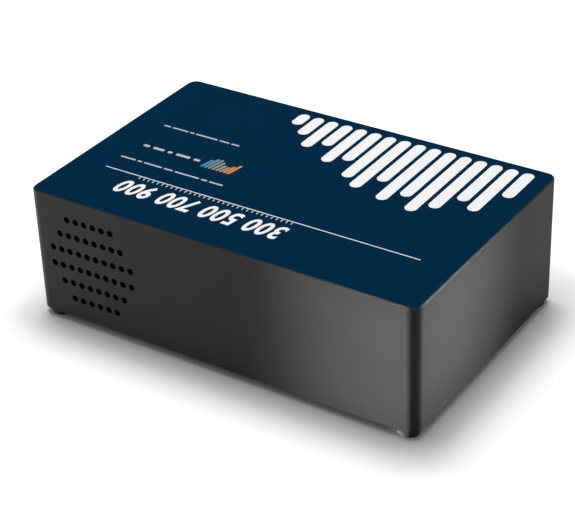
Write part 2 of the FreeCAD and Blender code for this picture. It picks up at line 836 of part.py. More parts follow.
def build_housing_screws():
    """The screws of the feet, the cover and the base plate, each kind in one group."""
    feet = new_body("foot_screws")
    head_top = "foot_recess_depth"
    end = "base_top + screw_bite - screw_end_gap"
    grow(feet, "XY", head_top, end, circles(POSTS, "screw_diameter"))
    grow(feet, "XY", f"{head_top} - screw_head_height", head_top, circles(POSTS, "screw_head_diameter"))

    cover = new_body("cover_screws")
    end = "cover_bottom - screw_bite + screw_end_gap"
    grow(cover, "XY", end, "cover_neck", circles(POSTS, "screw_diameter"))
    grow(cover, "XY", "cover_neck", "ring_top", circles(POSTS, "screw_diameter"), taper="45")

    base = new_body("base_screws")
    places = circles(BENCH_SCREWS + SINK_POSTS, "screw_diameter")
    heads = circles(BENCH_SCREWS + SINK_POSTS, "screw_head_diameter")
    grow(base, "XY", "base_neck", "base_top + bench_bite", places)
    grow(base, "XY", "foot_height", "base_neck", heads, taper="-45")


# Fan

FAN_HOLES = corners("fan_hole_spacing / 2", "fan_hole_spacing / 2")


def fan_body(label):
    """Start a piece of the fan, whose middle is behind the middle of the air outlet."""
    return new_body(label, x="vent_x", y="fan_y", z="vent_z")


def build_fan_frame():
    """The moulded frame: two square flanges on a barrel, with struts that carry the bearing tube."""
    frame = fan_body("fan_frame")
    square = rounded("-fan_half", "fan_half", "-fan_half", "fan_half", "corner_radius / 2")
    front = "-fan_depth / 2"
    back = "fan_depth / 2"
    grow(frame, "XZ", front, back, circle("0", "0", "fan_barrel"))
    for low, high in ((front, f"{front} + fan_flange"), (f"{back} - fan_flange", back)):
        grow(frame, "XZ", low, high, square)
    grow(frame, "XZ", front, back, circles(FAN_HOLES, "fan_boss_diameter"))
    cut(frame, "XZ", front, back, circle("0", "0", "fan_bore"))
    cut(frame, "XZ", front, back, circles(FAN_HOLES, "tapped_diameter"))
    floor = f"{front} + fan_base_thickness"
    grow(frame, "XZ", front, floor, circle("0", "0", "rotor_diameter"))
    half = "fan_strut_width / 2"
    reach = "(fan_bore / 2 + fan_strut_overlap)"
    grow(frame, "XZ", front, floor, rectangle(f"-{reach}", reach, f"-{half}", half))
    grow(frame, "XZ", front, floor, rectangle(f"-{half}", half, f"-{reach}", reach))
    tube_end = "cup_floor - rotor_end_gap"
    grow(frame, "XZ", front, tube_end, circle("0", "0", "fan_tube_diameter"))
    bore = circle("0", "0", "fan_bearing_diameter + 2 * thread_gap")
    cut(frame, "XZ", floor, tube_end, bore)

    bearing = fan_body("fan_bearing")
    grow(bearing, "XZ", floor, tube_end, circle("0", "0", "fan_bearing_diameter"))
    cut(bearing, "XZ", floor, tube_end, circle("0", "0", "fan_shaft_diameter + 2 * shaft_gap"))


def build_fan_rotor():
    """The rotor: a cup with swept blades, and the shaft that turns in the bearing."""
    rotor = fan_body("fan_rotor")
    grow(rotor, "XZ", "rotor_front", "rotor_back", circle("0", "0", "rotor_diameter"))
    # A blade is lofted from its root section in the hub to its tip section beside the barrel.
    root = new_sketch(rotor, "YZ", "rotor_diameter / 2 - rotor_wall / 2")
    draw_blade_section(root, "blade_root_lean")
    tip = new_sketch(rotor, "YZ", "blade_reach")
    draw_blade_section(tip, "blade_tip_lean")
    blade = rotor.newObject("PartDesign::AdditiveLoft", "Blade")
    blade.Profile = root
    blade.Sections = [tip]
    doc.recompute()
    repeat_round(rotor, [blade], "Y", "blade_count")
    cup = circle("0", "0", "rotor_diameter - 2 * rotor_wall")
    cut(rotor, "XZ", "rotor_front", "cup_floor", cup)
    sleeve = "cup_floor - rotor_end_gap / 2"
    grow(rotor, "XZ", sleeve, "cup_floor", circle("0", "0", "2 * fan_shaft_diameter"))
    socket = circle("0", "0", "fan_shaft_diameter + thread_gap")
    cut(rotor, "XZ", sleeve, "cup_floor + rotor_cap / 2", socket)

    shaft = fan_body("fan_shaft")
    start = "fan_base_thickness + fan_shaft_end_gap - fan_depth / 2"
    grow(shaft, "XZ", start, "cup_floor + rotor_cap / 2", circle("0", "0", "fan_shaft_diameter"))


def draw_blade_section(sketch, lean):
    """Draw a blade's section: a thin strip, bowed and leaning across the air flow."""
    middle = "(rotor_front + rotor_back) / 2"
    lower = [
        ("rotor_front", f"-{lean}"),
        (middle, "blade_camber"),
        ("rotor_back", f"{lean} - blade_thickness"),
    ]
    upper = [(x, f"{y} + blade_thickness") for x, y in lower]
    ends = []
    for side in (lower, upper):
        points = [Vector(value(x), value(y), 0) for x, y in side]
        arc = sketch.addGeometry(Part.Arc(*points), False)
        # A sketch runs every arc anticlockwise, so its first end may be either one.
        first = 1 if sketch.getPoint(arc, 1).isEqual(points[0], 1e-6) else 2
        pin_point(sketch, arc, first, *side[0])
        pin_point(sketch, arc, 3 - first, *side[2])
        guide = sketch.addGeometry(Part.Point(points[1]), True)
        pin_point(sketch, guide, 1, *side[1])
        sketch.addConstraint(Sketcher.Constraint("PointOnObject", guide, 1, arc))
        ends.append((arc, first, points))
    (low_arc, low_end, low_points), (high_arc, high_end, high_points) = ends
    for near_low, near_high, step in ((low_end, high_end, 0), (3 - low_end, 3 - high_end, 2)):
        edge = sketch.addGeometry(Part.LineSegment(low_points[step], high_points[step]), False)
        sketch.addConstraint(Sketcher.Constraint("Coincident", edge, 1, low_arc, near_low))
        sketch.addConstraint(Sketcher.Constraint("Coincident", edge, 2, high_arc, near_high))


def build_fan_stator():
    """The wound core inside the cup: four poles with wide shoes round the bearing tube."""
    stator = fan_body("fan_stator")
    low = "rotor_front + rotor_end_gap"
    high = "cup_floor - 2 * rotor_end_gap"
    grow(stator, "XZ", low, high, circle("0", "0", "stator_diameter"))
    cut(stator, "XZ", low, high, circle("0", "0", "stator_diameter - 2 * stator_shoe"))
    half = "stator_pole_width / 2"
    reach = "(stator_diameter - stator_shoe) / 2"
    grow(stator, "XZ", low, high, rectangle(f"-{reach}", reach, f"-{half}", half))
    grow(stator, "XZ", low, high, rectangle(f"-{half}", half, f"-{reach}", reach))
    grow(stator, "XZ", low, high, circle("0", "0", "fan_tube_diameter + 2 * stator_shoe"))
    # The shoes of neighbouring poles stay apart at the slots between them.
    near_edge = "stator_diameter * stator_slot_reach"
    slot = loop(
        (near_edge, f"{near_edge} - stator_slot"),
        ("stator_diameter / 2", "stator_diameter / 2 - stator_slot"),
        ("stator_diameter / 2 - stator_slot", "stator_diameter / 2"),
        (f"{near_edge} - stator_slot", near_edge),
    )
    notch = cut(stator, "XZ", low, high, slot)
    repeat_round(stator, [notch], "Y", "4")
    cut(stator, "XZ", low, high, circle("0", "0", "fan_tube_diameter + 2 * thread_gap"))


def build_fan_bracket():
    """The folded bracket that presses the fan against the wall, and the screws of both."""
    bracket = new_body("fan_bracket")
    high = "fan_back + bracket_thickness"
    left = "vent_x - fan_half"
    right = "vent_x + fan_half"
    grow(bracket, "XZ", "fan_back", high, rectangle(left, right, "base_top", "vent_z + fan_half"))
    foot = rectangle(left, right, "fan_back", f"{high} + bracket_foot")
    grow(bracket, "XY", "base_top", "base_top + bracket_thickness", foot)
    cut(bracket, "XZ", "fan_back", high, circle("vent_x", "vent_z", "fan_bore"))
    holes = [(f"vent_x + {x}", f"vent_z + {y}") for x, y in FAN_HOLES]
    cut(bracket, "XZ", "fan_back", high, circles(holes, "clear_diameter"))
    cut(bracket, "XY", "base_top", "base_top + bracket_thickness", circles(BRACKET_SCREWS, "clear_diameter"))

    screws = new_body("pan_screws")
    grow(screws, "XZ", f"{high} - fan_depth / 2", high, circles(holes, "screw_diameter"))
    grow(screws, "XZ", high, f"{high} + screw_head_height", circles(holes, "screw_head_diameter"))
    seat = "base_top + bracket_thickness"
    end = "foot_height + screw_short"
    grow(screws, "XY", end, seat, circles(BRACKET_SCREWS, "screw_diameter"))
    grow(screws, "XY", seat, f"{seat} + screw_head_height", circles(BRACKET_SCREWS, "screw_head_diameter"))
    face = "spreader_face"
    grow(screws, "YZ", "sink_plate + screw_short", face, circles(SPREADER_SCREWS, "screw_diameter"))
    heads = circles(SPREADER_SCREWS, "screw_head_diameter")
    grow(screws, "YZ", face, f"{face} + screw_head_height", heads)


def build_heat_sink():
    """The finned heat sink in the air path, on four posts."""
    sink = new_body("heat_sink")
    base = rectangle("sink_plate", "sink_right", "sink_front", "sink_back")
    top = "sink_bottom + fin_pitch * (fin_count - 1) + fin_thickness"
    grow(sink, "XY", "sink_bottom", top, base)
    fin = rectangle("sink_left", "sink_plate", "sink_front", "sink_back")
    first = grow(sink, "XY", "sink_bottom", "sink_bottom + fin_thickness", fin)
    repeat(sink, first, "Z", "fin_count", "fin_pitch")
    cut(sink, "XY", "sink_bottom", "sink_bottom + fin_thickness", circles(SINK_POSTS, "tapped_diameter"))
    cut(sink, "YZ", "sink_plate", "sink_right", circles(SPREADER_SCREWS, "tapped_diameter"))

    posts = new_body("sink_posts")
    grow(posts, "XY", "base_top", "sink_bottom", circles(SINK_POSTS, "sink_post_diameter"))
    grow(posts, "XY", "sink_bottom", "sink_bottom + fin_thickness", circles(SINK_POSTS, "screw_diameter"))
    deep = "base_top + bench_bite + screw_end_gap"
    cut(posts, "XY", "base_top", deep, circles(SINK_POSTS, "tapped_diameter"))


# Optical bench

LID_SCREWS = [
    (x, y)
    for x in ("bench_left + bench_wall / 2", "(bench_left + notch_x) / 2", "notch_x - 2 * bench_wall")
    for y in both("bench_half_width - bench_wall / 2")
]
OPTICS = {
    "collimator": "collimator_width / 2 - collimator_screw_inset",
    "focusing": "focusing_width / 2 - focusing_screw_inset",
}


def bench_outline(inset):
    """Return a drawing of the bench's plan: a rectangle that steps round the right-hand posts."""
    left = f"bench_left + {inset}"
    right = f"bench_right - {inset}"
    back = f"bench_half_width - {inset}"
    step_x = f"notch_x - {inset}"
    step_y = f"notch_y - {inset}"
    return loop(
        (left, f"-({back})"),
        (step_x, f"-({back})"),
        (step_x, f"-({step_y})"),
        (right, f"-({step_y})"),
        (right, step_y),
        (step_x, step_y),
        (step_x, back),
        (left, back),
    )


def build_bench():
    """The milled tray that holds the optics, its lid and the lid's screws."""
    tray = new_body("bench_tray")
    grow(tray, "XY", "base_top", "bench_top", bench_outline("0"))
    cut(tray, "XY", "floor_top", "bench_top", bench_outline("bench_wall"))
    deep = "base_top + bench_bite + thread_gap"
    cut(tray, "XY", "base_top", deep, circles(BENCH_SCREWS, "tapped_diameter"))
    hole = circle("port_x", "optical_z", "port_thread_diameter + 2 * port_hole_gap")
    cut(tray, "XZ", "bench_half_width - bench_wall", "bench_half_width", hole)
    # The heat spreader leaves through a notch that is open at the top.
    notch = rectangle(
        along_spreader("cooler_back", "bench_left") + " - spreader_gap",
        along_spreader("spreader_back", "bench_left + bench_wall") + " + spreader_gap",
        "optical_z - cold_plate_height / 2 - spreader_gap",
        "bench_top",
    )
    cut(tray, "YZ", "bench_left", "bench_left + bench_wall", notch)
    cut(tray, "XY", "bench_top - small_bite", "bench_top", circles(LID_SCREWS, "small_tapped_diameter"))
    for places in OPTICS_SCREWS.values():
        cut(tray, "XY", "floor_top - small_bite", "floor_top", circles(places, "small_tapped_diameter"))

    lid = new_body("bench_lid")
    grow(lid, "XY", "bench_top", "lid_top", bench_outline("0"))
    cut(lid, "XY", "bench_top", "lid_top", circles(LID_SCREWS, "small_clear_diameter"))
    clinch = circles(MAIN_POSTS, "clinch_diameter + 2 * thread_gap")
    cut(lid, "XY", "lid_top - clinch_depth", "lid_top", clinch)
    cut(lid, "XY", "bench_top", "lid_top", flex_outline("spreader_gap"))

    screws = new_body("lid_screws")
    end = "bench_top - small_bite + small_end_gap"
    grow(screws, "XY", end, "lid_top", circles(LID_SCREWS, "small_screw_diameter"))
    heads = circles(LID_SCREWS, "small_head_diameter")
    grow(screws, "XY", "lid_top", "lid_top + small_head_height", heads)


def along_spreader(ahead, x):
    """Give the depth at which a long side of the heat spreader's bar passes a place along X."""
    turn = "detector_turn"
    run = f"{x} - detector_x - sin({turn}) * {ahead}"
    return f"detector_y + tan({turn}) * ({run}) - cos({turn}) * {ahead}"


def optic_body(label, name):
    """Start a piece that turns with a tilted optic, whose face looks along its own +Y."""
    return new_body(label, x=f"{name}_x", y=f"{name}_y", turn=f"{name}_turn")


def build_mirrors():
    """The two concave mirrors, each glued to an upright plate on a screwed foot."""
    high = "optical_z + mirror_height / 2"
    back = "-(mirror_thickness + holder_plate)"
    for name, label in (("collimator", "collimating_mirror"), ("focusing", "focusing_mirror")):
        half = f"{name}_width / 2"
        build_concave_mirror(label, name)
        holder = optic_body(f"{name}_holder", name)
        grow(holder, "XZ", back, "-mirror_thickness", rectangle(f"-{half}", half, "floor_top", high))
        foot = rectangle(f"-{half}", half, back, "holder_reach")
        grow(holder, "XY", "floor_top", "floor_top + holder_foot", foot)
        places = [(x, "0") for x in both(OPTICS[name])]
        cut(holder, "XY", "floor_top", "floor_top + holder_foot", circles(places, "small_clear_diameter"))


def build_concave_mirror(label, name):
    """A glass block whose front is hollowed by a sphere round the mirror's own centre of curvature."""
    block = doc.addObject("Part::Box", label + "_block")
    bind(
        block,
        Length=f"{name}_width",
        Width="mirror_thickness",
        Height="mirror_height",
        Placement_Base_x=f"-{name}_width / 2",
        Placement_Base_y="-mirror_thickness",
        Placement_Base_z="optical_z - mirror_height / 2",
    )
    ball = doc.addObject("Part::Sphere", label + "_ball")
    # The ball cuts into the front by the rise of its surface at the ends of the block.
    half = f"{name}_width / 2"
    bind(
        ball,
        Radius="mirror_radius",
        Placement_Base_y=f"sqrt(mirror_radius * mirror_radius - {half} * {half})",
        Placement_Base_z="optical_z",
    )
    mirror = doc.addObject("Part::Cut", label)
    mirror.Base = block
    mirror.Tool = ball
    mirror.Label = label
    place(mirror, x=f"{name}_x", y=f"{name}_y", turn=f"{name}_turn")
    subparts[label] = mirror


def build_grating():
    """The ruled grating on its turntable, clamped by one screw after it has been set."""
    grating = optic_body("grating", "grating")
    half = "grating_width / 2"
    low = "optical_z - mirror_height / 2"
    high = "optical_z + mirror_height / 2"
    grow(grating, "XZ", "-grating_thickness", "0", rectangle(f"-{half}", half, low, high))

    table = optic_body("grating_turntable", "grating")
    back = "-(grating_thickness + holder_plate)"
    middle = "-grating_thickness / 2"
    grow(table, "XY", "floor_top", "floor_top + holder_foot", circle("0", middle, "turntable_diameter"))
    plate = rectangle(f"-{half}", half, "floor_top", high)
    grow(table, "XZ", back, "-grating_thickness", plate)
    cut(table, "XY", "floor_top", "floor_top + holder_foot", circle("0", middle, "small_clear_diameter"))


OPTICS_SCREWS = {
    "collimator": [turned("collimator", x, "0") for x in both(OPTICS["collimator"])],
    "focusing": [turned("focusing", x, "0") for x in both(OPTICS["focusing"])],
    "grating": [turned("grating", "0", "-grating_thickness / 2")],
    "detector": [
        turned("detector", x, "foot_screw_y") for x in both("detector_board_length / 2 - foot_screw_inset")
    ],
    "baffle": [
        ("port_x - baffle_width / 2 + baffle_screw_inset", "baffle_y - baffle_foot / 2"),
        ("port_x + baffle_screw_side", "baffle_y - baffle_foot / 2"),
    ],
    "dump": [("dump_x + dump_width - dump_screw_inset", "dump_y + dump_screw_inset")],
}
OPTICS_SEATS = {
    "collimator": "floor_top + holder_foot",
    "focusing": "floor_top + holder_foot",
    "grating": "floor_top + holder_foot",
    "detector": "floor_top + holder_foot",
    "baffle": "floor_top + baffle_thickness",
    "dump": "floor_top + dump_height",
}


def build_optics_screws():
    """The small screws that hold the optics to the floor of the bench."""
    screws = new_body("optics_screws")
    for name, places in OPTICS_SCREWS.items():
        seat = OPTICS_SEATS[name]
        end = "floor_top - small_bite + small_end_gap"
        grow(screws, "XY", end, seat, circles(places, "small_screw_diameter"))
        grow(screws, "XY", seat, f"{seat} + small_head_height", circles(places, "small_head_diameter"))


def build_stops():
    """The plate that trims the light behind the slit, and the trap for light that isn't split."""
    baffle = new_body("slit_baffle")
    left = "port_x - baffle_width / 2"
    right = "port_x + baffle_width / 2"
    high = "baffle_y + baffle_thickness"
    plate = rectangle(left, right, "floor_top", "bench_top - baffle_head_gap")
    grow(baffle, "XZ", "baffle_y", high, plate)
    foot = rectangle(left, right, "baffle_y - baffle_foot", high)
    grow(baffle, "XY", "floor_top", "floor_top + baffle_thickness", foot)
    beam = "port_x + (collimator_x - port_x) * (slit_y - baffle_y) / (slit_y - collimator_y)"
    window = rectangle(
        f"{beam} - baffle_opening / 2",
        f"{beam} + baffle_opening / 2",
        "optical_z - baffle_opening",
        "optical_z + baffle_opening",
    )
    cut(baffle, "XZ", "baffle_y", high, window)
    places = OPTICS_SCREWS["baffle"]
    cut(baffle, "XY", "floor_top", "floor_top + baffle_thickness", circles(places, "small_clear_diameter"))

    dump = new_body("light_trap")
    trap = loop(
        ("dump_x", "dump_y"),
        ("dump_x + dump_width", "dump_y"),
        ("dump_x + dump_width", "dump_y + dump_length"),
        ("dump_x", "dump_y + dump_length"),
        ("dump_x + dump_depth", "dump_y + dump_length / 2"),
    )
    top = "floor_top + dump_height"
    grow(dump, "XY", "floor_top", top, trap)
    cut(dump, "XY", "floor_top", top, circles(OPTICS_SCREWS["dump"], "small_clear_diameter"))


# Detector

def detector_body(label):
    """Start a piece behind the detector's face, which looks along its own +Y."""
    return optic_body(label, "detector")


def upright(half, rise):
    """Return a drawing of an upright rectangle round the optical axis."""
    return rectangle(f"-({half})", half, f"optical_z - ({rise})", f"optical_z + ({rise})")


def build_detector():
    """The packaged detector with its window and lens, its board, and the foot that carries them."""
    package = detector_body("detector_package")
    half = "package_length / 2"
    grow(package, "XZ", "-package_thickness", "0", upright(half, "package_height / 2"))
    seat = upright("window_length / 2 + fit_gap", "window_height / 2 + fit_gap")
    cut(package, "XZ", "-window_thickness", "0", seat)
    well = upright("window_length / 2 - window_ledge", "window_height / 2 - window_ledge")
    cut(package, "XZ", "-window_thickness - well_depth", "0", well)

    window = detector_body("detector_window")
    grow(window, "XZ", "-window_thickness", "0", upright("window_length / 2", "window_height / 2"))

    lens = detector_body("detector_lens")
    rise = "lens_height / 2"
    ends = both("lens_length / 2")
    grow(lens, "YZ", *ends, circle("lens_thickness - lens_radius", "optical_z", "2 * lens_radius"))
    back = rectangle("-2 * lens_radius", "0", "optical_z - lens_radius", "optical_z + lens_radius")
    cut(lens, "YZ", *ends, back)
    for low, high in ((rise, "lens_radius"), ("-lens_radius", f"-{rise}")):
        edge = rectangle("0", "lens_thickness", f"optical_z + {low}", f"optical_z + {high}")
        cut(lens, "YZ", *ends, edge)

    board = detector_body("detector_board")
    plate = upright("detector_board_length / 2", "detector_board_height / 2")
    grow(board, "XZ", "-board_back", "-package_thickness", plate)
    slot = upright("cold_block_width / 2 + hole_gap", "cold_block_height / 2 + hole_gap")
    cut(board, "XZ", "-board_back", "-package_thickness", slot)
    across = both("detector_board_length / 2 - detector_screw_inset")
    holes = [(x, "floor_top + holder_foot + detector_screw_rise") for x in across]
    cut(board, "XZ", "-board_back", "-package_thickness", circles(holes, "small_clear_diameter"))
    rim = "optical_z + detector_board_height / 2"
    sides = both("flex_width / 2 + plug_side")
    plug = rectangle(*sides, f"{rim} - plug_height", f"{rim} - plug_inset")
    grow(board, "XZ", "-board_back - plug_depth", "-board_back", plug)

    bracket = detector_body("detector_bracket")
    side = "detector_board_length / 2"
    plate = rectangle(f"-{side}", side, "floor_top", "floor_top + holder_foot + detector_plate_rise")
    grow(bracket, "XZ", "-board_back - holder_plate", "-board_back", plate)
    foot = rectangle(f"-{side}", side, "-board_back - holder_plate", "foot_screw_y + foot_screw_ahead")
    grow(bracket, "XY", "floor_top", "floor_top + holder_foot", foot)
    places = [(x, "foot_screw_y") for x in both("detector_board_length / 2 - foot_screw_inset")]
    cut(bracket, "XY", "floor_top", "floor_top + holder_foot", circles(places, "small_clear_diameter"))
    cut(bracket, "XZ", "-board_back - holder_plate", "-board_back", circles(holes, "small_tapped_diameter"))

    screws = detector_body("detector_screws")
    end = "-board_back - holder_plate + screw_short"
    grow(screws, "XZ", end, "-package_thickness", circles(holes, "small_screw_diameter"))
    head = "small_head_height - package_thickness"
    grow(screws, "XZ", "-package_thickness", head, circles(holes, "small_head_diameter"))


def build_cooler():
    """The cold block, the thermoelectric cooler and the copper bar that leads its heat away."""
    block = detector_body("cold_block")
    tongue = upright("cold_block_width / 2", "cold_block_height / 2")
    grow(block, "XZ", "-cold_front", "-package_thickness", tongue)
    plate = upright("cold_plate_width / 2", "cold_plate_height / 2")
    grow(block, "XZ", "-cooler_front", "-cold_front", plate)

    cooler = detector_body("cooler")
    plate = upright("cold_plate_height / 2", "cold_plate_height / 2")
    grow(cooler, "XZ", "-cooler_back", "cooler_plate - cooler_back", plate)
    corner = "cooler_pellet_pitch * (cooler_pellet_count - 1) / 2"
    pellet = rectangle(
        f"-{corner} - cooler_pellet / 2",
        f"-{corner} + cooler_pellet / 2",
        f"optical_z - {corner} - cooler_pellet / 2",
        f"optical_z - {corner} + cooler_pellet / 2",
    )
    first = grow(cooler, "XZ", "cooler_plate - cooler_back", "-cooler_front - cooler_plate", pellet)
    pattern = cooler.newObject("PartDesign::LinearPattern", "Pellets")
    pattern.Originals = [first]
    axes = {item.Role: item for item in cooler.Origin.OriginFeatures}
    pattern.Direction = (axes["X_Axis"], [""])
    pattern.Direction2 = (axes["Z_Axis"], [""])
    run = "cooler_pellet_pitch * (cooler_pellet_count - 1)"
    bind(pattern, Length=run, Length2=run)
    bind(pattern, Occurrences="cooler_pellet_count", Occurrences2="cooler_pellet_count")
    cooler.Tip = pattern
    doc.recompute()
    grow(cooler, "XZ", "-cooler_front - cooler_plate", "-cooler_front", plate)

    spreader = new_body("heat_spreader")
    near_end = turned("detector", "-cold_plate_height / 2", "-cooler_back")
    far_end = turned("detector", "-cold_plate_height / 2", "-spreader_back")
    face = "spreader_face"
    outline = loop(
        ("sink_right", "foot_front"),
        (face, "foot_front"),
        (face, "bar_front"),
        near_end,
        far_end,
        (face, "bar_back"),
        (face, "sink_back"),
        ("sink_right", "sink_back"),
    )
    low = "optical_z - cold_plate_height / 2"
    grow(spreader, "XY", low, "optical_z + cold_plate_height / 2", outline)
    cut(spreader, "YZ", "sink_right", face, circles(SPREADER_SCREWS, "clear_diameter"))


# Fibre port

def port_body(label):
    """Start a round piece of the fibre port, whose zero is the outer face of the back wall."""
    return new_body(label, x="port_x", y="half_width", z="optical_z")


def tube(label, low, high, outer, bore):
    """Make a plain ring of the fibre port."""
    body = port_body(label)
    grow(body, "XZ", low, high, circle("0", "0", outer))
    cut(body, "XZ", low, high, circle("0", "0", bore))


def build_port():
    """The fibre connector with its slit, and the rings that clamp it to the wall and the bench."""
    connector = port_body("fibre_connector")
    end = "port_hex_length + port_thread_length"
    step = f"{end} - ferrule_length"
    grow(connector, "XZ", "-port_tail", end, circle("0", "0", "port_thread_diameter"))
    grow(connector, "XZ", "0", "port_hex_length", polygon(6, "port_hex"))
    cut(connector, "XZ", step, end, circle("0", "0", "ferrule_diameter"))
    cut(connector, "XZ", "-port_tail", step, circle("0", "0", "slit_bore_diameter"))

    disc = port_body("slit_disc")
    low = f"{step} - slit_disc_thickness"
    plug = "slit_bore_diameter - 2 * fit_gap"
    grow(disc, "XZ", low, step, circle("0", "0", plug))
    gap = rectangle("-slit_width / 2", "slit_width / 2", "-slit_length / 2", "slit_length / 2")
    cut(disc, "XZ", low, step, gap)
    tube("slit_retainer", f"{low} - retainer_length", low, plug, "retainer_bore")

    wall_in = "-wall - bench_gap - bench_wall"
    hole = "port_thread_diameter + 2 * fit_gap"
    tube("port_spacer", "-wall - bench_gap", "-wall", "port_spacer_diameter", hole)
    nut = port_body("port_nut")
    grow(nut, "XZ", f"{wall_in} - port_nut_length", wall_in, polygon(6, "port_hex"))
    cut(nut, "XZ", f"{wall_in} - port_nut_length", wall_in, circle("0", "0", hole))


# Circuit boards and sockets

# Chips on the board over the bench: the middle, the width, the depth and the rise of each.
CHIPS = (
    (0.0, 0.0, 14.0, 14.0, 1.4),
    (22.0, 6.0, 10.0, 12.0, 1.1),
    (22.0, -14.0, 9.0, 9.0, 1.2),
    (-22.0, -16.0, 12.0, 8.0, 3.2),
    (-4.0, 24.0, 18.0, 7.0, 2.4),
    (-24.0, 6.0, 6.0, 6.0, 3.0),
)


def build_boards():
    """The board behind the sockets and the board over the bench, on clinched posts."""
    board = new_body("io_board")
    plate = rectangle("io_board_left", "io_board_right", "io_board_front", "io_board_back")
    grow(board, "XY", "io_board_z", "io_board_top", plate)
    cut(board, "XY", "io_board_z", "io_board_top", circles(IO_POSTS, "small_clear_diameter"))
    top = "io_board_top + connector_height"
    left = "ribbon_x - ribbon_side_gap"
    plug = rectangle(left, "io_board_right", "ribbon_front", "ribbon_back")
    grow(board, "XY", "io_board_top", top, plug)
    sides = ("lead_x - lead_plug_width / 2", "lead_x + lead_plug_width / 2")
    plug = rectangle(*sides, "lead_end", "lead_end + lead_plug_depth")
    grow(board, "XY", "io_board_top", top, plug)

    main = new_body("main_board")
    half = "main_board_half_width"
    plate = rectangle("main_board_left", "main_board_right", f"-{half}", half)
    grow(main, "XY", "main_board_z", "main_board_top", plate)
    cut(main, "XY", "main_board_z", "main_board_top", circles(MAIN_POSTS, "small_clear_diameter"))
    grow(main, "XY", "main_board_z - connector_height", "main_board_z", flex_outline("plug_side"))
    left = "main_board_left + ribbon_plug_inset"
    plug = rectangle(left, f"{left} + ribbon_plug_width", "ribbon_front", "ribbon_back")
    grow(main, "XY", "main_board_top", "main_board_top + connector_height", plug)
    middle = "(main_board_left + main_board_right) / 2"
    for x, y, width, depth, rise in CHIPS:
        sides = (f"{middle} + {x - width / 2}", f"{middle} + {x + width / 2}")
        chip = rectangle(*sides, str(y - depth / 2), str(y + depth / 2))
        grow(main, "XY", "main_board_top", f"main_board_top + {rise}", chip)

    posts = new_body("board_posts")
    for places, low, high in ((IO_POSTS, "base_top", "io_board_z"), (MAIN_POSTS, "lid_top", "main_board_z")):
        grow(posts, "XY", low, high, circles(places, "board_post_diameter"))
        grow(posts, "XY", f"{low} - clinch_depth", low, circles(places, "clinch_diameter"))
        cut(posts, "XY", low, high, circles(places, "small_tapped_diameter"))

    screws = new_body("board_screws")
    for places, low, seat in (
        (IO_POSTS, "io_board_z", "io_board_top"),
        (MAIN_POSTS, "main_board_z", "main_board_top"),
    ):
        end = f"{low} - board_lift + screw_end_gap"
        grow(screws, "XY", end, seat, circles(places, "small_screw_diameter"))
        grow(screws, "XY", seat, f"{seat} + small_head_height", circles(places, "small_head_diameter"))


def socket_block(name, height):
    """Start a socket that stands on the rear board and reaches the back wall's outer face."""
    socket = new_body(f"{name}_socket", x=f"{name}_x", z="io_board_top")
    outline = rectangle(f"-{name}_width / 2", f"{name}_width / 2", "0", height)
    grow(socket, "XZ", f"socket_face - {name}_depth", "socket_face", outline)
    return socket


def build_usb_socket():
    """The square data socket: bevelled at its upper corners, with a tongue inside."""
    socket = socket_block("usb", "usb_height")
    half = "usb_opening_width / 2"
    low = "(usb_height - usb_opening_height) / 2"
    high = "(usb_height + usb_opening_height) / 2"
    bevel = "usb_opening_bevel"
    mouth = loop(
        (f"-{half}", low),
        (half, low),
        (half, f"{high} - {bevel}"),
        (f"{half} - {bevel}", high),
        (f"{bevel} - {half}", high),
        (f"-{half}", f"{high} - {bevel}"),
    )
    inner = "socket_face - usb_opening_depth"
    cut(socket, "XZ", inner, "socket_face", mouth)
    middle = "usb_height / 2"
    tongue = rectangle(
        "-usb_tongue_width / 2",
        "usb_tongue_width / 2",
        f"{middle} - usb_tongue_height / 2",
        f"{middle} + usb_tongue_height / 2",
    )
    grow(socket, "XZ", inner, "socket_face - usb_tongue_setback", tongue)


def build_power_jack():
    """The power jack and the pin in its middle."""
    jack = socket_block("jack", "jack_height")
    axis = "jack_height - jack_width / 2"
    inner = "socket_face - jack_bore_depth"
    cut(jack, "XZ", inner, "socket_face", circle("0", axis, "jack_bore"))
    root = f"{inner} - jack_pin_root"
    cut(jack, "XZ", root, inner, circle("0", axis, "jack_root_diameter + 2 * thread_gap"))

    pin = new_body("jack_pin", x="jack_x", z="jack_z")
    tip = f"{inner} + jack_pin_length"
    grow(pin, "XZ", root, inner, circle("0", "0", "jack_root_diameter"))
    grow(pin, "XZ", inner, tip, circle("0", "0", "jack_pin_diameter"))
    end = value(tip)
    ease(pin, "Fillet", "jack_pin_round", lambda point, edge: near(point.y, end))


def build_header_socket():
    """The shrouded pin header with its key slot, and the pins in two rows."""
    header = socket_block("header", "header_height")
    inner = "socket_face - header_cavity_depth"
    sides = both("header_width / 2 - header_wall")
    cavity = rectangle(*sides, "header_wall", "header_height - header_wall")
    cut(header, "XZ", inner, "socket_face", cavity)
    key = rectangle(*both("header_key_width / 2"), "header_height - header_wall", "header_height")
    cut(header, "XZ", inner, "socket_face", key)
    first_x = "-header_pitch * (header_columns - 1) / 2"
    back = "socket_face - header_depth"
    rows = [f"header_height / 2 {sign} header_pitch / 2" for sign in "-+"]
    pins = new_body("header_pins", x="header_x", z="io_board_top")
    for z in rows:
        hole = cut(header, "XZ", back, inner, square(first_x, z, "header_pin + 2 * fit_gap"))
        repeat(header, hole, "X", "header_columns", "header_pitch")
        post = grow(pins, "XZ", back, f"{inner} + header_pin_length", square(first_x, z, "header_pin"))
        repeat(pins, post, "X", "header_columns", "header_pitch")


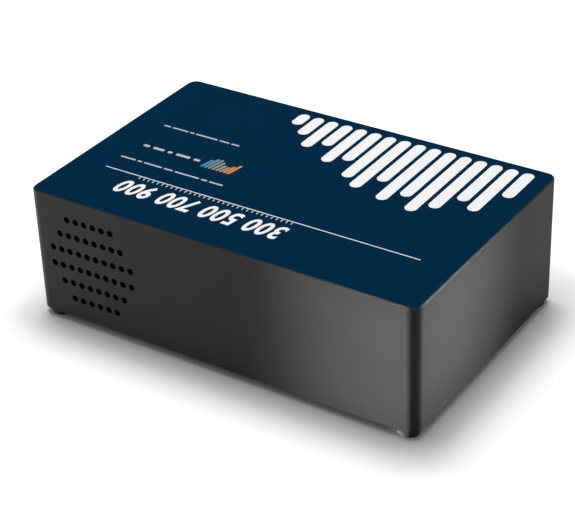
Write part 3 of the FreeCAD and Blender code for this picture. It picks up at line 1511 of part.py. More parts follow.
def build_status_lamp():
    """The round lamp beside the sockets, on its block."""
    lamp = new_body("status_lamp", x="lamp_x", z="io_board_top")
    half = "lamp_block / 2"
    block = rectangle(f"-{half}", half, "0", "lamp_block")
    grow(lamp, "XZ", "lamp_back - lamp_block", "lamp_back", block)
    grow(lamp, "XZ", "lamp_back", "half_width", circle("0", half, "lamp_diameter"))
    end = value("half_width")
    ease(lamp, "Fillet", "lamp_round", lambda point, edge: near(point.y, end))


# Leads

def flex_outline(gap="0"):
    """Return a drawing of the plan of the detector's flat cable, which stands behind its board."""
    side = f"flex_width / 2 + {gap}"
    front = "board_back + flex_behind"
    return loop(
        turned("detector", f"-({side})", f"{gap} - ({front})"),
        turned("detector", f"-({side})", f"-({front} + flex_thickness + {gap})"),
        turned("detector", side, f"-({front} + flex_thickness + {gap})"),
        turned("detector", side, f"{gap} - ({front})"),
    )


def build_leads():
    """The flat cables between the boards, and the fan's lead."""
    flex = new_body("detector_flex")
    low = "optical_z + detector_board_height / 2 - plug_inset"
    grow(flex, "XY", low, "main_board_z - connector_height", flex_outline())

    ribbon = new_body("board_ribbon")
    foot = "io_board_top + connector_height"
    inner = "ribbon_x + ribbon_thickness"
    low = "main_board_top + ribbon_rise"
    high = f"{low} + ribbon_thickness"
    end = "main_board_left + ribbon_plug_inset"
    side = loop(
        ("ribbon_x", foot), (inner, foot), (inner, low), (end, low), (end, high), ("ribbon_x", high)
    )
    grow(ribbon, "XZ", "ribbon_front", "ribbon_back", side)
    bends = (
        (value("ribbon_x"), value(high), "ribbon_bend + ribbon_thickness"),
        (value(inner), value(low), "ribbon_bend"),
    )
    for x, z, radius in bends:

        def is_bend(point, edge, x=x, z=z):
            return near(point.x, x) and near(point.z, z)

        ease(ribbon, "Fillet", radius, is_bend)

    build_fan_lead()


def build_fan_lead():
    """The round lead from the fan to the rear board: two straight runs joined by one arc."""
    bend = value("lead_bend")
    start = Vector(value("vent_x + fan_half"), value("fan_back - fan_flange / 2"), value("lead_z"))
    turn = Vector(value("lead_x"), start.y, start.z)
    stop = Vector(turn.x, value("lead_end"), start.z)
    before = turn - Vector(bend, 0, 0)
    after = turn + Vector(0, bend, 0)
    lean = bend * (1 - math.sqrt(0.5))
    arc = Part.Arc(before, Vector(turn.x - lean, turn.y + lean, turn.z), after)
    runs = (Part.LineSegment(start, before), arc, Part.LineSegment(after, stop))
    path = Part.Wire([run.toShape() for run in runs])
    mouth = Part.Wire(Part.Circle(start, Vector(1, 0, 0), value("lead_diameter") / 2).toShape())
    lead = doc.addObject("Part::Feature", "fan_lead")
    lead.Label = "fan_lead"
    lead.Shape = path.makePipeShell([mouth], True, False)
    place(lead)
    subparts["fan_lead"] = lead
    section = math.pi * value("lead_diameter") ** 2 / 4
    print("fan lead: bend", bend, "volume", lead.Shape.Volume, "expected", section * path.Length)


def check_and_write():
    """Stop at any failed object, then write each sub-part to its own file."""
    doc.recompute()
    for thing in doc.Objects:
        if "Invalid" in thing.State or "Error" in thing.State:
            raise RuntimeError(f"{thing.Name} ({thing.Label}) failed: {thing.State}")
    os.makedirs("parts", exist_ok=True)
    for label, thing in subparts.items():
        shape = thing.Shape
        if shape.isNull() or not shape.isValid() or not shape.Solids:
            raise RuntimeError(f"the shape of {label} is not sound")
        shape.exportStep(f"parts/{label}.step")
    print(len(subparts), "sub-parts written")


def main():
    build_wall_ring()
    build_covers()
    build_feet()
    build_housing_screws()
    build_fan_frame()
    build_fan_rotor()
    build_fan_stator()
    build_fan_bracket()
    build_heat_sink()
    build_bench()
    build_mirrors()
    build_grating()
    build_optics_screws()
    build_stops()
    build_detector()
    build_cooler()
    build_port()
    build_boards()
    build_usb_socket()
    build_power_jack()
    build_header_socket()
    build_status_lamp()
    build_leads()
    check_and_write()


main()
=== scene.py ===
# %% [markdown]
# A small optical instrument in a black metal box. The solids come from the construction model and stay
# where they are. This lesson gives them their finishes, and makes the few pieces that need finer shapes
# than the solids have: the printed film on top, the threaded port, the sockets and the screw heads.

# %% Load the solids
import json
import math

import bpy
from mathutils import Matrix, Vector

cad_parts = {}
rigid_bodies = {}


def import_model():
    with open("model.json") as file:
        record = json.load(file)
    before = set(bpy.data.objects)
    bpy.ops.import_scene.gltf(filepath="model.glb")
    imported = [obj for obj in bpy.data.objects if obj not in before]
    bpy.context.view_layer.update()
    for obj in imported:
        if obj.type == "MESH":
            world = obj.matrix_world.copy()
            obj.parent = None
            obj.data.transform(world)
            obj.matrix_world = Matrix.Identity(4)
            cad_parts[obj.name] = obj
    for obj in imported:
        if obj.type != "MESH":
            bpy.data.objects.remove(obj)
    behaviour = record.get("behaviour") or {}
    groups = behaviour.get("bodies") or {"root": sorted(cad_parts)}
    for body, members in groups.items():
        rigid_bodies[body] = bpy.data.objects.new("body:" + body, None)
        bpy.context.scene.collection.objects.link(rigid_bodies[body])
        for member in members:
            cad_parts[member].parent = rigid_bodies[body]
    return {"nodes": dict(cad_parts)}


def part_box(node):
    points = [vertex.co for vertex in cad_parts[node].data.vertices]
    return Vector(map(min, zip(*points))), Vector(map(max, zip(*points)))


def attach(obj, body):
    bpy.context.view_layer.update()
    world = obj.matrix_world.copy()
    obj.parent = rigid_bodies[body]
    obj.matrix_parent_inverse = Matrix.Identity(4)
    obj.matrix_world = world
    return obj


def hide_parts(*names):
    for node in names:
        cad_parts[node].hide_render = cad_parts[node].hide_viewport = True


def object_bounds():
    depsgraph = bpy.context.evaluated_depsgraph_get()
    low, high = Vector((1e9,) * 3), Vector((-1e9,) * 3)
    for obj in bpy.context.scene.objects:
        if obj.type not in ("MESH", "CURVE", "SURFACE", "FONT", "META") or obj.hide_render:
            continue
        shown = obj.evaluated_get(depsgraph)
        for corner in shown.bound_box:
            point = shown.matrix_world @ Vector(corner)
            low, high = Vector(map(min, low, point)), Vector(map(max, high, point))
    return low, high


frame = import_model()
cad_low, cad_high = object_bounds()
nodes = frame["nodes"]
MM = 0.001
print("nodes:", len(nodes), "box in mm:", [round((b - a) / MM, 2) for a, b in zip(cad_low, cad_high)])

# %% [markdown]
# The camera stands to the right of the front wall and looks down on the box. It is a long lens far away,
# so the edges that run to the back come together only a little. Its place and turn were fitted to the
# box's seven visible corners. Fitting corners beats turning the camera by eye, because a long lens hides
# small mistakes in distance.

# %% Camera
CAMERA_PLACE = (355.68, -537.74, 415.94)
CAMERA_TURN = (58.246, 1.841, 32.898)
LENS_LENGTH = 113.8
SENSOR_WIDTH = 36.0

camera_data = bpy.data.cameras.new("camera")
camera_data.lens = LENS_LENGTH
camera_data.sensor_width = SENSOR_WIDTH
camera_data.clip_start = 0.01
camera = bpy.data.objects.new("camera", camera_data)
camera.location = Vector(CAMERA_PLACE) * MM
camera.rotation_euler = [math.radians(angle) for angle in CAMERA_TURN]
bpy.context.scene.collection.objects.link(camera)
bpy.context.scene.camera = camera
print("camera", round(camera.location.length, 3), "m from the middle of the floor under the box")

# %% [markdown]
# The room's light, every material and every shared effect is a tree of nodes. A few helpers keep them
# short to write and to read. The first one fills the inputs of a node. An input can take a plain value or
# the output of another node, which is then linked.

# %% Helpers for nodes
def fill(tree, node, *values, **named):
    """Fill a node's inputs, in their order or by name, with plain values or with outputs of other nodes."""
    pairs = list(zip(node.inputs, values))
    pairs += [(node.inputs[label.replace("_", " ")], value) for label, value in named.items()]
    for slot, value in pairs:
        if isinstance(value, bpy.types.NodeSocket):
            tree.links.new(value, slot)
        else:
            slot.default_value = value
    return node


def add(tree, kind, *values, **named):
    """Add a node and fill it. A name in small letters is a setting of the node, and any other an input."""
    node = tree.nodes.new("ShaderNode" + kind)
    for label in [label for label in named if label.islower()]:
        setattr(node, label, named.pop(label))
    return fill(tree, node, *values, **named)


def calculate(tree, operation, *values, clamp=False):
    """Add a Math node and give its result."""
    return add(tree, "Math", *values, operation=operation, use_clamp=clamp).outputs[0]


def mix_colours(tree, factor, first, second):
    """Give a mix of two colours."""
    return add(tree, "Mix", data_type="RGBA", Factor=factor, A=first, B=second).outputs["Result"]


def colour_ramp(tree, share, stops):
    """Give a colour for a share from 0 to 1. Each stop is a share and a colour."""
    ramp = add(tree, "ValToRGB", Fac=share)
    elements = ramp.color_ramp.elements
    elements.remove(elements[1])
    elements[0].position = stops[0][0]
    elements[0].color = (*stops[0][1], 1.0)
    for where, colour in stops[1:]:
        elements.new(where).color = (*colour, 1.0)
    return ramp.outputs["Color"]


def object_place(tree):
    """Give each point's place in the object's own space, in metres."""
    return add(tree, "TexCoord").outputs["Object"]


def new_material(name, **values):
    """Open a material and set values of its shader. Give the material, its tree and the shader."""
    material = bpy.data.materials.new(name)
    material.use_nodes = True
    tree = material.node_tree
    return material, tree, fill(tree, tree.nodes["Principled BSDF"], **values)


print("node helpers ready")

# %% [markdown]
# A studio picture of a dark box needs two kinds of light. A pale room and one large panel overhead give
# the flat colours of the top and the soft shadow. Narrow upright lights, low and far to the sides, graze
# the satin walls where they meet: one from the left makes the front wall grow brighter towards the near
# corner, and one from behind on the right does the same for the right wall. Both are aside of the round
# corner, so it stays dark between them. A broader and weaker one beside the first lifts the rest of the
# front wall. They are low, so that the top gets none of their light. A lamp's spread says how far its light
# fans out, and a small one gives the soft end of the glow.

# %% Room and lamps
scene = bpy.context.scene
scene.view_settings.view_transform = "Standard"
ROOM_COLOUR = (0.96, 0.98, 1.0, 1.0)
ROOM_LIGHT = 0.30
BACKGROUND = (1.0, 1.0, 1.0, 1.0)
STRIP_HEIGHT = 80

world = bpy.data.worlds.new("room")
world.use_nodes = True
scene.world = world
room = world.node_tree
room.nodes.clear()


def seen_rays(tree):
    """Give 1 for rays that see the background: from the camera, in a mirror or through glass."""
    ray = add(tree, "LightPath").outputs
    direct = calculate(tree, "MAXIMUM", ray["Is Camera Ray"], ray["Is Glossy Ray"])
    return calculate(tree, "MAXIMUM", direct, ray["Is Transmission Ray"])


lit = add(room, "Background", Color=ROOM_COLOUR, Strength=ROOM_LIGHT)
seen = add(room, "Background", Color=BACKGROUND, Strength=1.0)
pick = add(room, "MixShader", seen_rays(room), lit.outputs[0], seen.outputs[0])
add(room, "OutputWorld", Surface=pick.outputs[0])


def panel(name, place, target, width, height, watts):
    """Make a soft light panel at a place, pointed at a target. All sizes are in millimetres."""
    light = bpy.data.lights.new(name, "AREA")
    light.shape = "RECTANGLE"
    light.size = width * MM
    light.size_y = height * MM
    light.energy = watts
    stand = bpy.data.objects.new(name, light)
    stand.location = Vector(place) * MM
    line = (Vector(target) - Vector(place)).normalized()
    stand.rotation_euler = line.to_track_quat("-Z", "Y").to_euler()
    scene.collection.objects.link(stand)
    return light


def strip_light(name, azimuth, reach, target, width, spread, watts):
    """Make a low, upright strip light that shines flat along a wall, from an angle off the front."""
    turn = math.radians(azimuth)
    place = (target[0] + reach * math.sin(turn), target[1] - reach * math.cos(turn), target[2])
    light = panel(name, place, target, width, STRIP_HEIGHT, watts)
    light.spread = math.radians(spread)
    return light


lamps = [
    panel("top_panel", (-150, 150, 1100), (0, 0, 30), 600, 600, 8.2),
    strip_light("left_strip", -66, 450, (92, -63, 30), 12, 9, 0.15),
    strip_light("left_fill", -68, 600, (0, -63, 30), 120, 60, 0.40),
    strip_light("back_strip", 150, 450, (90, -48, 30), 12, 10, 0.065),
]
print("lamps:", [(lamp.name, lamp.energy) for lamp in lamps])

# %% [markdown]
# The box stands on a white table. The table's own colour is nearly white, so it keeps the soft shadow of
# the box and of its feet.

# %% Table
HALF_TABLE = 3.0
table_mesh = bpy.data.meshes.new("table")
table_mesh.from_pydata(
    [(x * HALF_TABLE, y * HALF_TABLE, 0.0) for x, y in ((-1, -1), (1, -1), (1, 1), (-1, 1))],
    [],
    [(0, 1, 2, 3)],
)
table = bpy.data.objects.new("table", table_mesh)
scene.collection.objects.link(table)

table_paint, tree, paint = new_material(
    "table_paint",
    Base_Color=(0.97, 0.97, 0.97, 1.0), Roughness=0.9, Specular_IOR_Level=0.0, Emission_Strength=1.0,
)
table_mesh.materials.append(table_paint)
print("table", 2 * HALF_TABLE, "m wide")

# %% [markdown]
# The panel's light falls off towards the rim of the table, which would show as a grey horizon. So rays
# that see the table get a painted glow on top, which lights nothing, and the walls mirror it too. It is
# nothing under the box and close to it, where it would wash out the shadow, and it grows with the distance
# from the box, so its fall also paints shade: a darker ring round the box on top of the panel's real
# shadow. The table then runs out into the white of the room without an edge. The distance is measured
# from the box's outline in plan.

# %% Painted glow and painted shade of the table
PAINTED_GLOW_STOPS = (
    (0.0, 0.0), (0.008, 0.06), (0.02, 0.26), (0.05, 0.36),
    (0.2, 0.36), (0.6, 0.48), (1.0, 0.6), (2.0, 0.72),
)
FAR = PAINTED_GLOW_STOPS[-1][0]
box_corner = (cad_high[0], cad_high[1], 0.0)
beyond = add(tree, "VectorMath", object_place(tree), operation="ABSOLUTE").outputs["Vector"]
beyond = add(tree, "VectorMath", beyond, box_corner, operation="SUBTRACT").outputs["Vector"]
beyond = add(tree, "VectorMath", beyond, (0.0, 0.0, 0.0), operation="MAXIMUM").outputs["Vector"]
distance = add(tree, "VectorMath", beyond, operation="LENGTH").outputs["Value"]
share = calculate(tree, "DIVIDE", distance, FAR)
# The ramp paints light on the table, also seen in the walls' reflections, and paints shade round the box
# where it falls to nothing.
glow = colour_ramp(tree, share, [(metres / FAR, (level, level, level)) for metres, level in PAINTED_GLOW_STOPS])
glow = add(tree, "VectorMath", operation="SCALE", Vector=glow, Scale=seen_rays(tree)).outputs["Vector"]
fill(tree, paint, Emission_Color=glow)
print("glow of the table from", PAINTED_GLOW_STOPS[0][1], "at the box to", PAINTED_GLOW_STOPS[-1][1], "at", FAR, "m")

# %% [markdown]
# The low strip lights are meant for the walls alone. On the table they would leave bright streaks, and the
# table would hide their lower half. Light linking takes the table out of both lists of a lamp: what it
# lights and what throws a shadow in it. The shadow of the box comes from the panel overhead.

# %% Keep the strip lights off the table
table_alone = bpy.data.collections.new("table_alone")
table_alone.objects.link(table)
table_alone.collection_objects[0].light_linking.link_state = "EXCLUDE"
strips = [stand for stand in scene.objects if stand.name.endswith(("_strip", "_fill"))]
for stand in strips:
    stand.light_linking.receiver_collection = table_alone
    stand.light_linking.blocker_collection = table_alone
print("strip lights that pass the table by:", [stand.name for stand in strips])

# %% [markdown]
# Every finish here is a plain shader with some unevenness on top, and the unevenness is the same few
# effects again and again. Each effect is a node group with named inputs, so one group serves many
# materials with different values. The first helper opens an empty group with its inputs and outputs. The
# second makes a noise whose spots have a size in millimetres. The third ends a group that makes a finish.

# %% Helpers for node groups
COLOUR = "NodeSocketColor"
NUMBER = "NodeSocketFloat"
ARROW = "NodeSocketVector"


def new_group(name, inputs, outputs):
    """Open a node group with named sockets. Give it, what it is given, and the node of its results."""
    group = bpy.data.node_groups.new(name, "ShaderNodeTree")
    for label, kind, start in inputs:
        socket = group.interface.new_socket(label, in_out="INPUT", socket_type=kind)
        socket.default_value = start
    for label, kind in outputs:
        group.interface.new_socket(label, in_out="OUTPUT", socket_type=kind)
    return group, group.nodes.new("NodeGroupInput").outputs, group.nodes.new("NodeGroupOutput")


def noise(group, place, size_mm, detail):
    """Give a noise of about 0.5 everywhere, with spots of a size in millimetres."""
    per_metre = calculate(group, "DIVIDE", 1 / MM, size_mm)
    return add(group, "TexNoise", Vector=place, Scale=per_metre, Detail=detail).outputs["Fac"]


def end_finish(group, given, result, level, swing, height):
    """End a finish's group: the level scales the colour, and the swing moves the roughness."""
    tint = add(group, "VectorMath", operation="SCALE", Vector=given["Colour"], Scale=level)
    spread = calculate(group, "MULTIPLY", swing, given["Roughness Spread"])
    rough = calculate(group, "ADD", spread, given["Roughness"], clamp=True)
    fill(group, result, Colour=tint.outputs["Vector"], Roughness=rough, Height=height)
    print("group", group.name, "has", len(group.nodes), "nodes")


print("group helpers ready")

# %% [markdown]
# Grain is the first effect. Blasted and anodised metal, moulded plastic, rubber and printed film all have
# fine bumps of a tenth to half a millimetre, and a faint unevenness of tone over some millimetres. Two
# noise textures in object space give both. Object space is used and not a UV map, because the solids have
# no UV map, and the size of the grain can be given in millimetres there.

# %% Grain group
grain_group, given, result = new_group(
    "grain",
    [
        ("Colour", COLOUR, (0.5, 0.5, 0.5, 1.0)),
        ("Blotch Size mm", NUMBER, 12.0),
        ("Blotch", NUMBER, 0.1),
        ("Grain Size mm", NUMBER, 0.3),
        ("Roughness", NUMBER, 0.5),
        ("Roughness Spread", NUMBER, 0.1),
    ],
    [("Colour", COLOUR), ("Roughness", NUMBER), ("Height", NUMBER)],
)
place = object_place(grain_group)
blotch = noise(grain_group, place, given["Blotch Size mm"], 3.0)
grains = noise(grain_group, place, given["Grain Size mm"], 2.0)
swing = calculate(grain_group, "SUBTRACT", blotch, 0.5)
swing = calculate(grain_group, "MULTIPLY", swing, given["Blotch"])
level = calculate(grain_group, "MULTIPLY_ADD", swing, 4.0, 1.0)
both = calculate(grain_group, "ADD", grains, blotch)
both = calculate(grain_group, "SUBTRACT", both, 1.0)
end_finish(grain_group, given, result, level, both, grains)

# %% [markdown]
# Streaks are the second effect. Rolled, brushed, extruded and turned metal has long fine lines in one
# direction. The same noise does it when its space is squeezed along that direction: a number of 0.05
# makes each spot twenty times as long that way.

# %% Streak group
streak_group, given, result = new_group(
    "streaks",
    [
        ("Colour", COLOUR, (0.6, 0.6, 0.6, 1.0)),
        ("Squeeze", ARROW, (1.0, 1.0, 0.05)),
        ("Line Width mm", NUMBER, 0.2),
        ("Strength", NUMBER, 0.2),
        ("Roughness", NUMBER, 0.3),
        ("Roughness Spread", NUMBER, 0.15),
    ],
    [("Colour", COLOUR), ("Roughness", NUMBER), ("Height", NUMBER)],
)
place = object_place(streak_group)
squeezed = add(streak_group, "VectorMath", place, given["Squeeze"], operation="MULTIPLY").outputs["Vector"]
lines = noise(streak_group, squeezed, given["Line Width mm"], 4.0)
swing = calculate(streak_group, "SUBTRACT", lines, 0.5)
level = calculate(streak_group, "MULTIPLY", swing, given["Strength"])
level = calculate(streak_group, "MULTIPLY_ADD", level, 2.0, 1.0)
end_finish(streak_group, given, result, level, swing, lines)

# %% [markdown]
# Edges are the third effect. An anodised coat is thin and rubs light on sharp edges, so a machined box
# shows a fine pale line round its rims. That line is partly this wear and partly a painted highlight, the
# light that a rim catches. The Bevel node rounds the normal near an edge. Where that rounded normal leaves
# the true one, there is an edge. A noise breaks the line up so that it isn't drawn on.

# %% Edge group
edge_group, given, result = new_group(
    "wear_and_painted_highlight_edges",
    [("Radius mm", NUMBER, 0.3), ("Amount", NUMBER, 0.5), ("Break Size mm", NUMBER, 6.0)],
    [("Mask", NUMBER)],
)
radius = calculate(edge_group, "MULTIPLY", given["Radius mm"], MM)
rounded = add(edge_group, "Bevel", samples=6, Radius=radius).outputs["Normal"]
true_normal = add(edge_group, "NewGeometry").outputs["Normal"]
match = add(edge_group, "VectorMath", rounded, true_normal, operation="DOT_PRODUCT").outputs["Value"]
leaving = calculate(edge_group, "SUBTRACT", 1.0, match)
leaving = calculate(edge_group, "MULTIPLY", leaving, 7.0, clamp=True)
breaks = noise(edge_group, object_place(edge_group), given["Break Size mm"], 2.0)
broken = calculate(edge_group, "MULTIPLY_ADD", breaks, 1.2, 0.2, clamp=True)
mask = calculate(edge_group, "MULTIPLY", leaving, broken)
mask = calculate(edge_group, "MULTIPLY", mask, given["Amount"], clamp=True)
fill(edge_group, result, Mask=mask)
print("group", edge_group.name, "has", len(edge_group.nodes), "nodes")

# %% [markdown]
# Circuit boards carry one more effect. Their lacquer is clear enough to show the copper tracks beneath as
# lighter green lines. Cells measured in steps and not in straight distance have edges that run square and
# at 45 degrees, as tracks do, so the borders of such cells stand for them.

# %% Track group
TRACK_SHARE = 0.12
track_group, given, result = new_group(
    "tracks",
    [
        ("Lacquer", COLOUR, (0.02, 0.14, 0.07, 1.0)),
        ("Track", COLOUR, (0.07, 0.3, 0.14, 1.0)),
        ("Cell mm", NUMBER, 3.0),
    ],
    [("Colour", COLOUR), ("Height", NUMBER)],
)
cells = {"Vector": object_place(track_group)}
cells["Scale"] = calculate(track_group, "DIVIDE", 1 / MM, given["Cell mm"])
nearest, second = [
    add(track_group, "TexVoronoi", distance="MANHATTAN", feature=feature, **cells).outputs["Distance"]
    for feature in ("F1", "F2")
]
border = calculate(track_group, "SUBTRACT", second, nearest)
track = calculate(track_group, "LESS_THAN", border, TRACK_SHARE)
green = mix_colours(track_group, track, given["Lacquer"], given["Track"])
fill(track_group, result, Colour=green, Height=track)
print("group", track_group.name, "has", len(track_group.nodes), "nodes")

# %% [markdown]
# This helper makes one material from one of the groups. The group's colour, roughness and height go to the
# shader, the height through a Bump node. With an edge colour given, the edge mask mixes it in along the
# rims. The values that don't change over a surface, such as metallic, are set on the shader itself. Two
# short forms of it name the numbers that a grained or a streaked surface needs.

# %% Helpers for finishes
RELIEF_DEPTH = 0.1 * MM


def finish(name, group, colour, rough, metallic=0.0, specular=0.5, bump=0.1, edge=None, **settings):
    """Make a material from a group. The edge, if it has one, is a colour, an amount and a width in mm."""
    material, tree, shader = new_material(name, Metallic=metallic, Specular_IOR_Level=specular)
    settings.update(Colour=(*colour, 1.0), Roughness=rough[0], Roughness_Spread=rough[1])
    effect = add(tree, "Group", node_tree=group, **settings).outputs
    shade = effect["Colour"]
    if edge:
        # The edge colour is wear on the rims, and also a painted highlight along them.
        rim_colour, amount, width = edge
        rim = add(tree, "Group", node_tree=edge_group, Radius_mm=width, Amount=amount)
        shade = mix_colours(tree, rim.outputs["Mask"], shade, (*rim_colour, 1.0))
    relief = add(tree, "Bump", Strength=bump, Distance=RELIEF_DEPTH, Height=effect["Height"])
    fill(tree, shader, Base_Color=shade, Roughness=effect["Roughness"], Normal=relief.outputs["Normal"])
    return material


def grained(name, colour, rough, blotch, grain, **looks):
    """Make a grained finish: roughness and spread, blotch size and strength, and grain size in mm."""
    size, strength = blotch
    return finish(
        name, grain_group, colour, rough, Blotch_Size_mm=size, Blotch=strength, Grain_Size_mm=grain, **looks
    )


def streaked(name, colour, rough, squeeze, width, strength, **looks):
    """Make a streaked finish: roughness and spread, the squeeze, and the lines' width in mm and strength."""
    return finish(
        name, streak_group, colour, rough, Squeeze=squeeze, Line_Width_mm=width, Strength=strength, **looks
    )


def dress(material, *names):
    """Give a material to the solids of these nodes."""
    for name in names:
        mesh = nodes[name].data
        mesh.materials.clear()
        mesh.materials.append(material)


print("finish helpers ready")

# %% [markdown]
# The box is milled aluminium, blasted with fine glass beads and anodised black. The beads leave a matt
# surface with a grain of a quarter of a millimetre, so it mirrors the panels as broad soft glows. The dye
# never gets quite black. The roughness matters most here: too low and the table shows in the walls, too
# high and the glow near the corner is gone. The rims of the openings are a little lighter.

# %% Black anodised box
# The pale olive rim colour of the walls is worn anodising and also a painted highlight along the top edges.
anodised_wall = grained(
    "anodised_wall", (0.0085, 0.0085, 0.0088), (0.50, 0.10), blotch=(22.0, 0.05), grain=0.25,
    specular=0.15, bump=0.30, edge=((0.085, 0.09, 0.08), 0.5, 0.35),
)
anodised_plate = grained(
    "anodised_plate", (0.013, 0.013, 0.0135), (0.55, 0.10), blotch=(30.0, 0.06), grain=0.3,
    specular=0.2, bump=0.30, edge=((0.10, 0.10, 0.10), 0.5, 0.3),
)
dress(anodised_wall, "wall_ring")
dress(anodised_plate, "top_cover", "base_plate")
print("box finished:", anodised_wall.name, anodised_plate.name)

# %% [markdown]
# Inside, the optical bench and its holders are anodised too, but straight from the cutter, without
# blasting. They keep the fine lines of the mill. Light that strays onto them must die, so the baffle and
# the light trap have a deep matt black paint that the other parts don't need.

# %% Bench, holders and traps
milled_black = streaked(
    "milled_black", (0.018, 0.018, 0.02), (0.42, 0.25), squeeze=(0.05, 1.0, 1.0), width=0.35, strength=0.5,
    specular=0.35, bump=0.25, edge=((0.16, 0.16, 0.16), 0.7, 0.25),
)
holder_black = streaked(
    "holder_black", (0.024, 0.024, 0.027), (0.38, 0.2), squeeze=(1.0, 1.0, 0.06), width=0.2, strength=0.4,
    specular=0.4, bump=0.2, edge=((0.22, 0.22, 0.22), 0.8, 0.2),
)
trap_paint = grained(
    "trap_paint", (0.006, 0.006, 0.006), (0.92, 0.08), blotch=(5.0, 0.15), grain=0.2,
    specular=0.05, bump=0.6,
)
dress(milled_black, "bench_tray", "bench_lid")
dress(holder_black, "collimator_holder", "focusing_holder", "grating_turntable", "detector_bracket")
dress(trap_paint, "slit_baffle", "light_trap")
print("bench finished:", milled_black.name, holder_black.name, trap_paint.name)

# %% [markdown]
# The feet are moulded rubber, dark and dull, with a dusty bloom. The fan's frame and wheel are moulded
# plastic filled with glass fibre: a little glossier than the rubber, with a fine spark grain from the
# mould. The sockets' black bodies are of the same kind. One group makes all four, with other numbers.

# %% Rubber and plastics
foot_rubber = grained(
    "foot_rubber", (0.014, 0.014, 0.0145), (0.78, 0.15), blotch=(4.0, 0.25), grain=0.35,
    specular=0.12, bump=0.5, edge=((0.04, 0.04, 0.04), 0.6, 0.4),
)
fan_plastic = grained(
    "fan_plastic", (0.016, 0.016, 0.017), (0.42, 0.15), blotch=(9.0, 0.1), grain=0.2,
    bump=0.3, edge=((0.07, 0.07, 0.075), 0.5, 0.25),
)
rotor_plastic = grained(
    "rotor_plastic", (0.020, 0.020, 0.022), (0.33, 0.12), blotch=(7.0, 0.12), grain=0.25,
    bump=0.15, edge=((0.09, 0.09, 0.095), 0.6, 0.2),
)
socket_plastic = grained(
    "socket_plastic", (0.014, 0.014, 0.0145), (0.38, 0.15), blotch=(3.0, 0.15), grain=0.15,
    specular=0.35, bump=0.25, edge=((0.11, 0.11, 0.11), 0.5, 0.2),
)
feet = [name for name in nodes if name.startswith("foot_") and name != "foot_screws"]
dress(foot_rubber, *feet)
dress(fan_plastic, "fan_frame")
dress(rotor_plastic, "fan_rotor")
dress(socket_plastic, "jack_socket", "header_socket")
print("plastics finished:", len(feet), "feet")

# %% [markdown]
# Bare metals get streaks. The screws are turned and then blackened or left as zinc-plated steel, the fan's
# core is a stack of stamped steel sheets, and the heat sink is extruded aluminium whose lines run along
# its fins. Only the fan's bearing has grain, because its bronze is pressed from powder. Metallic is 1 for
# the bare ones, so their colour is the colour of their reflection. It is less for the blackened screws,
# whose thin coat lets only some of the metal shine through.

# %% Bare and plated metals
plated_screw = streaked(
    "plated_screw", (0.50, 0.51, 0.52), (0.32, 0.2), squeeze=(1.0, 1.0, 1.0), width=0.3, strength=0.25,
    metallic=1.0, bump=0.15, edge=((0.75, 0.75, 0.75), 0.5, 0.15),
)
black_screw = streaked(
    "black_screw", (0.035, 0.035, 0.038), (0.40, 0.2), squeeze=(1.0, 1.0, 1.0), width=0.3, strength=0.4,
    metallic=0.6, bump=0.2, edge=((0.25, 0.25, 0.25), 0.6, 0.15),
)
shaft_steel = streaked(
    "shaft_steel", (0.62, 0.62, 0.61), (0.22, 0.15), squeeze=(1.0, 0.05, 1.0), width=0.15, strength=0.3,
    metallic=1.0, bump=0.1,
)
core_steel = streaked(
    "core_steel", (0.33, 0.33, 0.34), (0.40, 0.2), squeeze=(0.05, 1.0, 0.05), width=0.35, strength=0.5,
    metallic=1.0, bump=0.6, edge=((0.6, 0.6, 0.6), 0.4, 0.15),
)
bracket_steel = streaked(
    "bracket_steel", (0.58, 0.58, 0.57), (0.35, 0.2), squeeze=(0.06, 1.0, 1.0), width=0.25, strength=0.3,
    metallic=1.0, bump=0.12, edge=((0.78, 0.78, 0.78), 0.5, 0.2),
)
sink_aluminium = streaked(
    "sink_aluminium", (0.67, 0.68, 0.69), (0.36, 0.2), squeeze=(1.0, 0.04, 1.0), width=0.3, strength=0.35,
    metallic=1.0, bump=0.25, edge=((0.85, 0.85, 0.86), 0.5, 0.25),
)
post_aluminium = streaked(
    "post_aluminium", (0.66, 0.66, 0.67), (0.30, 0.2), squeeze=(0.05, 0.05, 1.0), width=0.15, strength=0.3,
    metallic=1.0, bump=0.15, edge=((0.82, 0.82, 0.82), 0.5, 0.15),
)
nickel = streaked(
    "nickel", (0.60, 0.585, 0.55), (0.24, 0.15), squeeze=(1.0, 0.08, 1.0), width=0.2, strength=0.2,
    metallic=1.0, bump=0.08, edge=((0.80, 0.79, 0.76), 0.6, 0.12),
)
bearing_bronze = grained(
    "bearing_bronze", (0.55, 0.33, 0.14), (0.42, 0.2), blotch=(2.0, 0.2), grain=0.12, metallic=1.0, bump=0.3,
)
post_brass = streaked(
    "post_brass", (0.80, 0.60, 0.28), (0.28, 0.2), squeeze=(0.05, 0.05, 1.0), width=0.15, strength=0.25,
    metallic=1.0, bump=0.12, edge=((0.95, 0.80, 0.5), 0.5, 0.15),
)
contact_gold = streaked(
    "contact_gold", (0.92, 0.68, 0.27), (0.20, 0.12), squeeze=(1.0, 0.06, 1.0), width=0.1, strength=0.15,
    metallic=1.0, bump=0.05,
)
dress(plated_screw, "foot_screws", "pan_screws", "lid_screws")
dress(plated_screw, "optics_screws", "detector_screws", "board_screws")
dress(black_screw, "cover_screws", "base_screws")
dress(shaft_steel, "fan_shaft")
dress(core_steel, "fan_stator")
dress(bracket_steel, "fan_bracket")
dress(sink_aluminium, "heat_sink")
dress(post_aluminium, "sink_posts", "port_spacer")
dress(nickel, "fibre_connector", "slit_retainer", "port_nut")
dress(bearing_bronze, "fan_bearing")
dress(post_brass, "board_posts")
dress(contact_gold, "jack_pin", "header_pins")
print("metals finished")

# %% [markdown]
# The cooler is a sandwich of two white ceramic plates, the detector sits in a dark purple-brown ceramic
# package, and a block and a spreader of copper carry its heat. Copper that has been handled is never one
# colour, so its blotches are strong.

